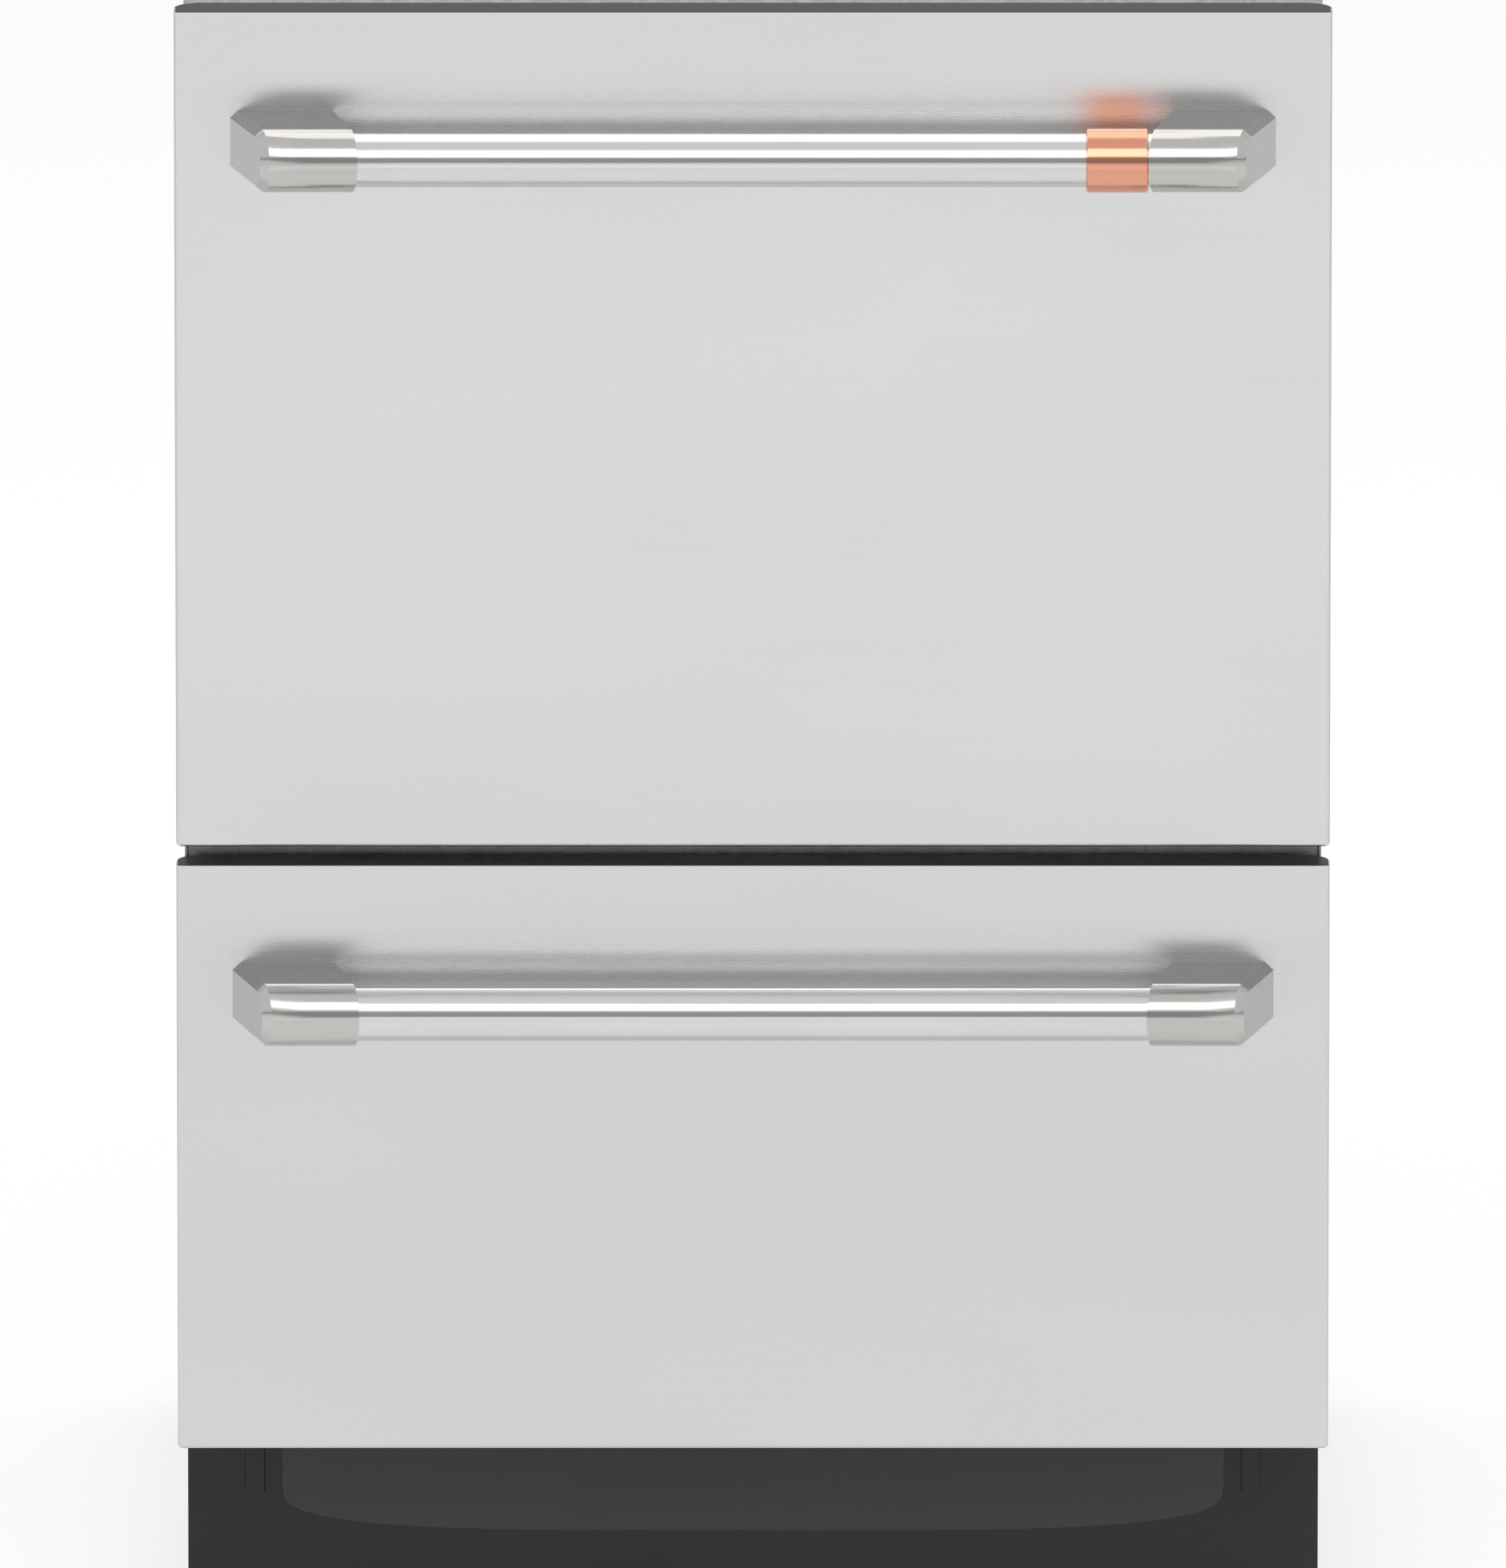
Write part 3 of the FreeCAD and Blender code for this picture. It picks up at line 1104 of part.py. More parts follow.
def top_panel():
    """Top sheet with folded edges, two beads and the tabs that screw up into the worktop."""
    low = CHASSIS_TOP - SHEET
    back = BACK_Y - 2 * SHEET
    sheet = block(-CHASSIS_INSIDE, CHASSIS_INSIDE, CHASSIS_FRONT_Y, BACK_Y - SHEET, low, CHASSIS_TOP)
    lip = block(-CHASSIS_INSIDE, CHASSIS_INSIDE, CHASSIS_FRONT_Y, CHASSIS_FRONT_Y + SHEET,
                UPPER.lid_top + SHEET, CHASSIS_TOP)
    pieces = [sheet, lip]
    tab = block(TAB_X - TAB_WIDTH / 2, TAB_X + TAB_WIDTH / 2, CHASSIS_FRONT_Y,
                CHASSIS_FRONT_Y + TAB_DEPTH, CHASSIS_TOP, CHASSIS_TOP + SHEET)
    pieces += both_sides(tab)
    for share in (0.35, 0.7):
        y = CHASSIS_FRONT_Y + share * (back - CHASSIS_FRONT_Y)
        profile = [(y - BEAD_WIDTH / 2, CHASSIS_TOP), (y + BEAD_WIDTH / 2, CHASSIS_TOP),
                   (y + BEAD_WIDTH / 2 - 2 * BEAD_HEIGHT, CHASSIS_TOP + BEAD_HEIGHT),
                   (y - BEAD_WIDTH / 2 + 2 * BEAD_HEIGHT, CHASSIS_TOP + BEAD_HEIGHT)]
        pieces.append(across(profile, -CHASSIS_INSIDE + 2 * BEAD_WIDTH, CHASSIS_INSIDE - 2 * BEAD_WIDTH))
    hole_y = CHASSIS_FRONT_Y + TAB_DEPTH / 2
    holes = both_sides(disc(TAB_X, hole_y, low - SHEET, CHASSIS_TOP + 2 * SHEET, TAB_HOLE / 2))
    return cut(join(pieces), holes)


def foot_places():
    front_y = SIDE_LOW_FRONT_Y + FOOT_FRONT_INSET
    rear_y = BACK_Y - FOOT_REAR_INSET
    return {"foot_front_left": (-FOOT_X, front_y), "foot_front_right": (FOOT_X, front_y),
            "foot_rear_left": (-FOOT_X, rear_y), "foot_rear_right": (FOOT_X, rear_y)}


def base_tray():
    """The drip tray under both drawers, with an upturned edge and holes for the foot bushes."""
    front = SIDE_LOW_FRONT_Y
    floor = block(-CHASSIS_INSIDE, CHASSIS_INSIDE, front, BACK_Y, BASE_HEIGHT, TRAY_TOP)
    rims = [block(-CHASSIS_INSIDE, -CHASSIS_INSIDE + SHEET, front, BAY_Y - SHEET, BASE_HEIGHT,
                  TRAY_TOP + FLANGE)]
    rims.append(mirrored(rims[0]))
    ribs = []
    for share in (0.3, 0.7):
        y = front + share * (BAY_Y - front)
        ribs.append(block(-CHASSIS_INSIDE + 3 * FLANGE, CHASSIS_INSIDE - 3 * FLANGE, y - SHEET, y + SHEET,
                          TRAY_TOP - SHEET, TRAY_TOP + 2 * SHEET))
    holes = [drum(x, y, BASE_HEIGHT - SHEET, TRAY_TOP + SHEET, BUSH_NECK_RADIUS, WIRE_SIDES)
             for x, y in foot_places().values()]
    return cut(join([floor] + rims + ribs), holes)


def front_rails():
    """Cross rails between the sides: one behind the toe kick, one between the drawers."""
    low_y = TOE_Y + TOE_SHEET
    metal = SHEET
    high = TOE_TOP - TOE_SHEET
    low = TRAY_TOP
    lower = [(low_y, low), (low_y + RAIL_DEPTH, low), (low_y + RAIL_DEPTH, low + metal),
             (low_y + metal, low + metal), (low_y + metal, high - metal),
             (low_y + RAIL_DEPTH, high - metal), (low_y + RAIL_DEPTH, high), (low_y, high)]
    inside = CHASSIS_INSIDE - SHEET
    rail = across(lower, -inside, inside)
    ends = []
    for part in both_sides(block(inside - SHEET, CHASSIS_INSIDE, SIDE_LOW_FRONT_Y,
                                 low_y + RAIL_DEPTH, TRAY_TOP + FLANGE + SHEET, high)):
        ends.append(part)
    middle_y = CHASSIS_FRONT_Y + SHEET
    middle_z = UPPER_BOTTOM - MECHANISM_CLEARANCE - MIDDLE_RAIL_HEIGHT
    middle = [(middle_y, middle_z), (middle_y + RAIL_DEPTH, middle_z),
              (middle_y + RAIL_DEPTH, middle_z + metal), (middle_y + metal, middle_z + metal),
              (middle_y + metal, middle_z + MIDDLE_RAIL_HEIGHT), (middle_y, middle_z + MIDDLE_RAIL_HEIGHT)]
    return group([join([rail] + ends), across(middle, -CHASSIS_INSIDE, CHASSIS_INSIDE)])


def foot_bush(x, y):
    collar = drum(x, y, BASE_HEIGHT - BUSH_DROP, BASE_HEIGHT, BUSH_RADIUS, PIN_SIDES)
    neck = drum(x, y, BASE_HEIGHT, BASE_HEIGHT + BUSH_RISE, BUSH_NECK_RADIUS, WIRE_SIDES)
    bore = drum(x, y, 0, BASE_HEIGHT + BUSH_RISE + SHEET, FOOT_STEM_RADIUS + TOUCH_GAP, PIN_SIDES)
    return cut(join([collar, neck]), [bore])


def foot_bushes():
    return group([foot_bush(x, y) for x, y in foot_places().values()])


def foot(x, y):
    pad = turned(x, y, [(0, FOOT_RADIUS), (FOOT_PAD, FOOT_RADIUS * 0.7)])
    nut = drum(x, y, FOOT_PAD, FOOT_PAD + FOOT_NUT, FOOT_RADIUS * 0.55, WIRE_SIDES)
    stem = drum(x, y, FOOT_PAD, FOOT_PAD + FOOT_STEM_LENGTH, FOOT_STEM_RADIUS, PIN_SIDES)
    return join([pad, nut, stem])


def toe_kick():
    face = block(-CHASSIS_HALF, CHASSIS_HALF, TOE_Y, TOE_Y + TOE_SHEET, TOE_BOTTOM, TOE_TOP)
    side = block(CHASSIS_HALF - TOE_SHEET, CHASSIS_HALF, TOE_Y, TOE_Y + TOE_RETURN, TOE_BOTTOM, TOE_TOP)
    foot_fold = block(-CHASSIS_HALF, CHASSIS_HALF, TOE_Y, TOE_Y + TOE_RETURN, TOE_BOTTOM,
                      TOE_BOTTOM + TOE_SHEET)
    head_fold = block(-CHASSIS_HALF, CHASSIS_HALF, TOE_Y, TOE_Y + TOE_RETURN, TOE_TOP - TOE_SHEET, TOE_TOP)
    front = TOE_Y - CLIP_THICKNESS
    clip = block(CLIP_X - CLIP_WIDTH / 2, CLIP_X + CLIP_WIDTH / 2, front, TOE_Y, CLIP_BOTTOM, TOE_TOP)
    hook = block(CLIP_X - CLIP_WIDTH / 2, CLIP_X + CLIP_WIDTH / 2, front, TOE_Y + TOE_RETURN, TOE_TOP,
                 TOE_TOP + CLIP_THICKNESS)
    return join([face, foot_fold, head_fold] + both_sides(side) + both_sides(clip) + both_sides(hook))


def toe_kick_facing():
    """The satin facing: straight above, with a flattened oval lower edge."""
    half = FRONT_HALF - FACING_INSET
    drop = FACING_SHOULDER - FACING_BOTTOM
    front = TOE_Y - FACING_THICKNESS
    points = []
    for index in range(-FACING_STEPS, FACING_STEPS + 1):
        share = math.sin(index / FACING_STEPS * math.pi / 2)
        sink = (1 - abs(share) ** FACING_SPREAD_POWER) ** (1 / FACING_DROP_POWER)
        points.append((share * half, FACING_SHOULDER - drop * sink))
    points += [(half, TOE_TOP), (-half, TOE_TOP)]
    return along(points, front, TOE_Y)


# Services in the rear bay

def water_inlet_valve():
    body_depth = SERVICE_BAY_DEPTH - SHEET - VALVE_THREAD_LENGTH - TUB_WALL
    body = block(VALVE_X - FLANGE, VALVE_X + FLANGE, BAY_Y, BAY_Y + body_depth,
                 SERVICE_HEIGHT - FLANGE, SERVICE_HEIGHT + FLANGE)
    thread = rod_y(VALVE_X, BAY_Y + body_depth, BAY_Y + body_depth + VALVE_THREAD_LENGTH, SERVICE_HEIGHT,
                   VALVE_THREAD_RADIUS)
    coil = drum(VALVE_X, BAY_Y + body_depth / 2, SERVICE_HEIGHT - FLANGE - TAB_DEPTH,
                SERVICE_HEIGHT - FLANGE, body_depth / 2.2, PIN_SIDES)
    bore = bar_y(VALVE_X, BAY_Y + body_depth, BAY_Y + body_depth + VALVE_THREAD_LENGTH + SHEET,
                 SERVICE_HEIGHT, VALVE_THREAD_RADIUS * 0.7)
    return cut(join([body, thread, coil]), [bore])


def drain_outlet():
    flange = bar_y(DRAIN_X, BAY_Y, BAY_Y + TUB_WALL, SERVICE_HEIGHT, DRAIN_RADIUS * 2)
    spout = rod_y(DRAIN_X, BAY_Y, BAY_Y + DRAIN_LENGTH, SERVICE_HEIGHT, DRAIN_RADIUS)
    bore = bar_y(DRAIN_X, BAY_Y - SHEET, BAY_Y + DRAIN_LENGTH + SHEET, SERVICE_HEIGHT,
                 DRAIN_RADIUS - TUB_WALL)
    return cut(join([flange, spout]), [bore])


def cable_gland():
    body = bar_y(GLAND_X, BAY_Y, BAY_Y + GLAND_LENGTH, SERVICE_HEIGHT, GLAND_RADIUS, WIRE_SIDES)
    bore = rod_y(GLAND_X, BAY_Y - SHEET, BAY_Y + GLAND_LENGTH + SHEET, SERVICE_HEIGHT, GLAND_BORE)
    return cut(body, [bore])


# The list of nodes

def nodes():
    pieces = {
        "right_side_panel": side_panel(),
        "left_side_panel": mirrored(side_panel()),
        "back_panel": back_panel(),
        "top_panel": top_panel(),
        "base_tray": base_tray(),
        "front_rails": front_rails(),
        "toe_kick": toe_kick(),
        "toe_kick_facing": toe_kick_facing(),
        "foot_bushes": foot_bushes(),
        "outer_runners": outer_runners(),
        "guide_channels": guide_channels(),
        "lid_actuators": lid_actuators(),
        "water_inlet_valve": water_inlet_valve(),
        "drain_outlet": drain_outlet(),
        "cable_gland": cable_gland(),
        "upper_handle_ring": handle_ring(UPPER),
        "upper_cutlery_basket": cutlery_basket(UPPER),
        "upper_cup_rack": cup_rack(UPPER),
    }
    for name, place in foot_places().items():
        pieces[name] = foot(*place)
    makers = {
        "front_panel": front_panel,
        "front_frame": front_frame,
        "control_strip": control_strip,
        "handle_bar": handle_bar,
        "handle_brackets": handle_brackets,
        "tub": tub,
        "inner_runners": inner_runners,
        "middle_runners": middle_runners,
        "filter_plate": filter_plate,
        "wash_motor": wash_motor,
        "impeller": impeller,
        "spray_arm": spray_arm,
        "basket": basket,
        "folding_tines": folding_tines,
        "dispenser": dispenser,
        "dispenser_door": dispenser_door,
        "lid": lid,
        "lid_seal": lid_seal,
        "lid_links": lid_links,
    }
    for drawer in (UPPER, LOWER):
        for piece_name, maker in makers.items():
            pieces[drawer.name + "_" + piece_name] = maker(drawer)
    return pieces


os.makedirs("parts", exist_ok=True)
for node_name, shape in nodes().items():
    shape.exportStep(os.path.join("parts", node_name + ".step"))
    print(node_name, "solids", len(shape.Solids), "volume", round(shape.Volume / 1000, 1), "cm3")
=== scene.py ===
# %% [markdown]
# # A double drawer dishwasher
#
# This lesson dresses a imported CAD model: two stacked wash drawers with brushed steel
# fronts, bar handles, a copper ring and a dark toe kick. The solids are already in
# place, so each step only gives a piece its finish, or stands a finer piece in the
# same space.

# %% Load the frame
import json
import math
import bmesh
import bpy
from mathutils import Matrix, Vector

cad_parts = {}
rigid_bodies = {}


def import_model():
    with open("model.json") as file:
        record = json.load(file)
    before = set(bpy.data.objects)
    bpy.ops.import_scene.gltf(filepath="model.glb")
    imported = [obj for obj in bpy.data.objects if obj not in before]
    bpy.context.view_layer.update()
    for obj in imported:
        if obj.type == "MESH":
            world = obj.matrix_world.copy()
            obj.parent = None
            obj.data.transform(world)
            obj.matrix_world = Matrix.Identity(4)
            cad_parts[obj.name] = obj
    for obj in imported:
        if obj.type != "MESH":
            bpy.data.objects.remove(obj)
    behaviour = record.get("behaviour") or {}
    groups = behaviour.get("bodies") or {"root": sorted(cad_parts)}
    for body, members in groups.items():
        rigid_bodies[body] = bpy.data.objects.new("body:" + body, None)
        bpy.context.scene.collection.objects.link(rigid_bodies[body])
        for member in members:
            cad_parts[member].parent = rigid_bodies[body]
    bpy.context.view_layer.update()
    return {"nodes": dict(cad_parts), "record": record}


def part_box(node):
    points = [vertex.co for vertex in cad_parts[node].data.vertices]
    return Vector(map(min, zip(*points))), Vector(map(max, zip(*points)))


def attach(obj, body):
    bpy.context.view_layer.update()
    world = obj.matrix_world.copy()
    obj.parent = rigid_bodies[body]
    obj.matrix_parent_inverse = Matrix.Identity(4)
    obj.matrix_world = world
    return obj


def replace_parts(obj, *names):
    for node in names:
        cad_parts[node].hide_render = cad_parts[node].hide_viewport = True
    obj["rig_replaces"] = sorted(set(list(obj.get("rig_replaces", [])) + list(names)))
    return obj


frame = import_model()
record = frame["record"]
slot_of = {part["node"]: part["material_slot"] for part in record["subparts"]}
body_of = {node: body for body, nodes in record["behaviour"]["bodies"].items() for node in nodes}

# %% [markdown]
# ## The camera
#
# The photograph is a straight front view from a little above, with every upright line
# parallel. A long lens from far away gives that look without a shifted lens: the fronts
# keep their proportions, and the top edge still shows as a thin dark line.

# %% Camera
VIEW_TILT = math.radians(12.0)
VIEW_HEIGHT = 0.8127
AIM_HEIGHT = 0.4571
CAMERA_DISTANCE = 20.0
SENSOR_WIDTH = 36.0
NEAREST_SEEN = 1.0
FARTHEST_SEEN = 300.0
face_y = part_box("upper_front_panel")[0].y
aim = Vector((0.0, face_y, AIM_HEIGHT))
towards_camera = Vector((0.0, -math.cos(VIEW_TILT), math.sin(VIEW_TILT)))

camera_data = bpy.data.cameras.new("portrait_camera")
camera_data.sensor_width = SENSOR_WIDTH
camera_data.lens = SENSOR_WIDTH * CAMERA_DISTANCE / VIEW_HEIGHT
camera_data.clip_start = NEAREST_SEEN
camera_data.clip_end = FARTHEST_SEEN
camera = bpy.data.objects.new("portrait_camera", camera_data)
bpy.context.scene.collection.objects.link(camera)
camera.location = aim + towards_camera * CAMERA_DISTANCE
camera.rotation_mode = "QUATERNION"
camera.rotation_quaternion = (-towards_camera).to_track_quat("-Z", "Y")
bpy.context.scene.camera = camera
bpy.context.scene.view_settings.view_transform = "Standard"
print("lens", round(camera_data.lens), "mm")

# %% [markdown]
# ## Node helpers
#
# Every finish below is a small node tree. These helpers add a node, join it up and set
# its values in one call, so that a finish reads as a short recipe.


# %% Node helpers
def named_input(node, name):
    """The enabled input socket of a node with that name."""
    return next(socket for socket in node.inputs if socket.name == name and socket.enabled)


def add_node(tree, kind, inputs=None, **settings):
    """Add a node. Inputs may be values or the output sockets to join to them."""
    node = tree.nodes.new(kind)
    for key, value in settings.items():
        setattr(node, key, value)
    for key, value in (inputs or {}).items():
        socket = node.inputs[key] if isinstance(key, int) else named_input(node, key)
        if isinstance(value, bpy.types.NodeSocket):
            tree.links.new(value, socket)
        else:
            socket.default_value = value
    return node


def either(tree, *sockets):
    """The highest of several values, such as rays of one kind or another."""
    result = sockets[0]
    for socket in sockets[1:]:
        result = add_node(tree, "ShaderNodeMath", {0: result, 1: socket}, operation="MAXIMUM").outputs[0]
    return result


def ranged(tree, source, low, high, start=0.3, end=0.7):
    """Stretch a value that runs from start to end over low to high. Noise mostly runs from 0.3 to 0.7."""
    return add_node(tree, "ShaderNodeMapRange", {"Value": source, "From Min": start, "From Max": end,
                                                 "To Min": low, "To Max": high}).outputs["Result"]


def tone_ramp(tree, source, stops):
    """Grey tones placed along a value that runs from 0 to 1."""
    ramp = add_node(tree, "ShaderNodeValToRGB", {"Fac": source})
    while len(ramp.color_ramp.elements) < len(stops):
        ramp.color_ramp.elements.new(0.5)
    for element, (position, value) in zip(ramp.color_ramp.elements, stops):
        element.position = position
        element.color = (value, value, value, 1.0)
    return ramp.outputs["Color"]


# %% [markdown]
# ## The studio
#
# A white floor, a white background and two large soft lamps. Steel has no colour of its
# own: what it shows is the studio. The upright fronts mirror the floor in front of them,
# and that floor shows them painted tones from near to far: a glow that only reflections
# see, with painted shade darkest under the machine. The bars mirror the two softboxes as
# bright lines, and the flat tops of the brackets mirror the low horizon by way of the
# front, so it's dark there. To the camera the floor is white, but part of that white is
# lamp light, so it keeps the machine's soft shadow.

# %% Floor
FLOOR_SIZE = 160.0
FLOOR_HEIGHT = -0.0005
LIT_FLOOR = (0.8, 0.8, 0.8, 1.0)
SHADED_FLOOR = (0.42, 0.42, 0.42, 1.0)
SEEN_GLOW = 0.67
# Painted shade and painted reflection: glow tones that only reflections see, darkest under the machine,
# from under the machine's middle (0) to the reach in front of it (1).
PAINTED_SHADE_REACH = 5.0
PAINTED_SHADE_FLOOR_STOPS = [(0.0, 0.38), (0.03, 0.46), (0.07, 0.57), (0.17, 0.55), (0.29, 0.50), (0.43, 0.49),
               (0.48, 0.56), (0.62, 0.67), (0.83, 0.60)]
half = FLOOR_SIZE / 2
corners = [(-half, -half), (half, -half), (half, half), (-half, half)]
floor_mesh = bpy.data.meshes.new("floor")
floor_mesh.from_pydata([(x, y, FLOOR_HEIGHT) for x, y in corners], [], [(0, 1, 2, 3)])
floor = bpy.data.objects.new("floor", floor_mesh)
bpy.context.scene.collection.objects.link(floor)
floor_finish = bpy.data.materials.new("studio_floor")
floor_finish.use_nodes = True
tree = floor_finish.node_tree
tree.nodes.remove(tree.nodes["Principled BSDF"])
rays = add_node(tree, "ShaderNodeLightPath")
lit = add_node(tree, "ShaderNodeBsdfDiffuse", {"Color": LIT_FLOOR})
half_lit = add_node(tree, "ShaderNodeBsdfDiffuse", {"Color": SHADED_FLOOR})
place = add_node(tree, "ShaderNodeTexCoord")
axes = add_node(tree, "ShaderNodeSeparateXYZ", {"Vector": place.outputs["Object"]})
in_front = add_node(tree, "ShaderNodeMath", {0: axes.outputs["Y"], 1: -1.0}, operation="MULTIPLY")
away = ranged(tree, in_front.outputs[0], 0.0, 1.0, 0.0, PAINTED_SHADE_REACH)
# Painted reflection: this glow is seen only in reflections, with painted shade close to the machine.
painted_reflection_glow = add_node(tree, "ShaderNodeEmission", {"Color": tone_ramp(tree, away, PAINTED_SHADE_FLOOR_STOPS)})
seen_glow = add_node(tree, "ShaderNodeEmission", {"Strength": SEEN_GLOW})
glow = add_node(tree, "ShaderNodeMixShader", {0: rays.outputs["Is Camera Ray"],
                                              1: painted_reflection_glow.outputs[0], 2: seen_glow.outputs[0]})
white = add_node(tree, "ShaderNodeAddShader", {0: glow.outputs[0], 1: half_lit.outputs[0]})
seen = either(tree, rays.outputs["Is Camera Ray"], rays.outputs["Is Glossy Ray"],
              rays.outputs["Is Transmission Ray"])
choice = add_node(tree, "ShaderNodeMixShader", {0: seen, 1: lit.outputs[0], 2: white.outputs[0]})
tree.links.new(choice.outputs[0], tree.nodes["Material Output"].inputs["Surface"])
floor_mesh.materials.append(floor_finish)
print("floor", FLOOR_SIZE, "m")

# %% World
WHITE = (1.0, 1.0, 1.0, 1.0)
ROOM_LIGHT = 0.55
# Tones from the horizon in front (0) over the top (0.5) to the one behind (1).
HORIZON_STOPS = [(0.0, 0.34), (0.11, 0.36), (0.14, 0.80), (0.78, 0.78), (0.88, 0.42), (1.0, 0.36)]
world = bpy.data.worlds.new("studio_world")
bpy.context.scene.world = world
world.use_nodes = True
tree = world.node_tree
soft = tree.nodes["Background"]
soft.inputs["Color"].default_value = WHITE
soft.inputs["Strength"].default_value = ROOM_LIGHT
place = add_node(tree, "ShaderNodeTexCoord")
axes = add_node(tree, "ShaderNodeSeparateXYZ", {"Vector": place.outputs["Generated"]})
forward = add_node(tree, "ShaderNodeMath", {0: axes.outputs["Y"], 1: -1.0}, operation="MULTIPLY")
climb = add_node(tree, "ShaderNodeMath", {0: axes.outputs["Z"], 1: forward.outputs[0]},
                 operation="ARCTAN2")
share = ranged(tree, climb.outputs[0], 0.0, 1.0, 0.0, math.pi)
mirrored_room = add_node(tree, "ShaderNodeBackground", {"Color": tone_ramp(tree, share, HORIZON_STOPS)})
pure_white = add_node(tree, "ShaderNodeBackground", {"Color": WHITE})
rays = add_node(tree, "ShaderNodeLightPath")
through = either(tree, rays.outputs["Is Camera Ray"], rays.outputs["Is Transmission Ray"])
lit_or_mirrored = add_node(tree, "ShaderNodeMixShader", {0: rays.outputs["Is Glossy Ray"],
                                                         1: soft.outputs[0], 2: mirrored_room.outputs[0]})
choice = add_node(tree, "ShaderNodeMixShader", {0: through, 1: lit_or_mirrored.outputs[0],
                                                2: pure_white.outputs[0]})
tree.links.new(choice.outputs[0], tree.nodes["World Output"].inputs["Surface"])
print("world made")


# %% Lamps
LAMP_DISTANCE = 5.0
LAMP_AIM_HEIGHT = 0.6


def soft_lamp(name, elevation, width, height, radiance):
    """A softbox on the machine's middle plane, as bright as that radiance. Its elevation is in
    degrees from the floor in front, so past 90 it's behind."""
    lamp_data = bpy.data.lights.new(name, "AREA")
    lamp_data.shape = "RECTANGLE"
    lamp_data.size = width
    lamp_data.size_y = height
    lamp_data.energy = radiance * math.pi * width * height
    lamp = bpy.data.objects.new(name, lamp_data)
    bpy.context.scene.collection.objects.link(lamp)
    angle = math.radians(elevation)
    way = Vector((0.0, -math.cos(angle), math.sin(angle)))
    lamp.location = Vector((0.0, face_y, LAMP_AIM_HEIGHT)) + way * LAMP_DISTANCE
    lamp.rotation_mode = "QUATERNION"
    lamp.rotation_quaternion = (-way).to_track_quat("-Z", "Y")
    lamp.visible_camera = False


soft_lamp("front_softbox", elevation=39.0, width=12.0, height=2.5, radiance=1.45)
soft_lamp("rear_softbox", elevation=114.0, width=10.0, height=3.2, radiance=0.78)
print("lamps", sorted(lamp.name for lamp in bpy.data.lights))

# %% [markdown]
# ## Finishes
#
# A finish is colour, roughness and relief, each varied by noise that is stretched the
# way the real surface was worked. Brushed steel has long thin scratches along the
# machine's width, moulded plastic has a fine even grain, and galvanised sheet has
# crystals. All of them read Object coordinates in metres, so the grain keeps its real
# size on every piece.


# %% Finish helpers
COAT_ROUGHNESS = 0.15
SCRATCH_SHARE = 0.35
STEEL_ROUGHNESS_SWING = 0.12
PLASTIC_ROUGHNESS_SWING = 0.05
CRYSTALS_PER_METRE = 240.0


def new_finish(name, metallic=0.0, specular=0.5, coat=0.0):
    """A material, its tree and its shader, with the constant values set."""
    finish = bpy.data.materials.new(name)
    finish.use_nodes = True
    shader = finish.node_tree.nodes["Principled BSDF"]
    shader.inputs["Metallic"].default_value = metallic
    shader.inputs["Specular IOR Level"].default_value = specular
    shader.inputs["Coat Weight"].default_value = coat
    shader.inputs["Coat Roughness"].default_value = COAT_ROUGHNESS
    return finish, finish.node_tree, shader


def stretched_noise(tree, scale, detail=3.0):
    """Noise on Object coordinates, with its own scale (per metre) along each axis."""
    place = add_node(tree, "ShaderNodeTexCoord")
    mapping = add_node(tree, "ShaderNodeMapping", {"Vector": place.outputs["Object"], "Scale": scale})
    noise = add_node(tree, "ShaderNodeTexNoise", {"Vector": mapping.outputs["Vector"], "Scale": 1.0,
                                                  "Detail": detail, "Roughness": 0.6})
    return noise.outputs["Fac"]


def tint(tree, source, dark, light):
    """A colour between two tones, chosen by a noise value."""
    mix = add_node(tree, "ShaderNodeMix", data_type="RGBA")
    tree.links.new(ranged(tree, source, 0.0, 1.0), mix.inputs[0])
    mix.inputs[6].default_value = (*dark, 1.0)
    mix.inputs[7].default_value = (*light, 1.0)
    return mix.outputs[2]


def relief(tree, shader, source, depth):
    """Shallow relief on the surface, so many metres deep."""
    bump = add_node(tree, "ShaderNodeBump", {"Height": source, "Distance": depth, "Strength": 1.0})
    tree.links.new(bump.outputs["Normal"], shader.inputs["Normal"])


def brushed_steel(name, dark, light, roughness, scratches, depth, clouds=(5.0, 5.0, 5.0), spread=0.0):
    """Steel with long thin scratches and slow cloudy changes of tone. The spread smears what it
    mirrors across the scratches, up and down."""
    finish, tree, shader = new_finish(name, metallic=1.0)
    shader.inputs["Anisotropic"].default_value = spread
    shader.inputs["Tangent"].default_value = (0.0, 0.0, 1.0)
    lines = stretched_noise(tree, scratches, 4.0)
    cloud = stretched_noise(tree, clouds, 2.0)
    blend = add_node(tree, "ShaderNodeMath", {0: lines, 1: SCRATCH_SHARE}, operation="MULTIPLY")
    tone = add_node(tree, "ShaderNodeMath", {0: cloud, 1: 1 - SCRATCH_SHARE, 2: blend.outputs[0]},
                    operation="MULTIPLY_ADD")
    tree.links.new(tint(tree, tone.outputs[0], dark, light), shader.inputs["Base Color"])
    tree.links.new(ranged(tree, lines, roughness * (1 - STEEL_ROUGHNESS_SWING),
                          roughness * (1 + STEEL_ROUGHNESS_SWING)), shader.inputs["Roughness"])
    relief(tree, shader, lines, depth)
    return finish


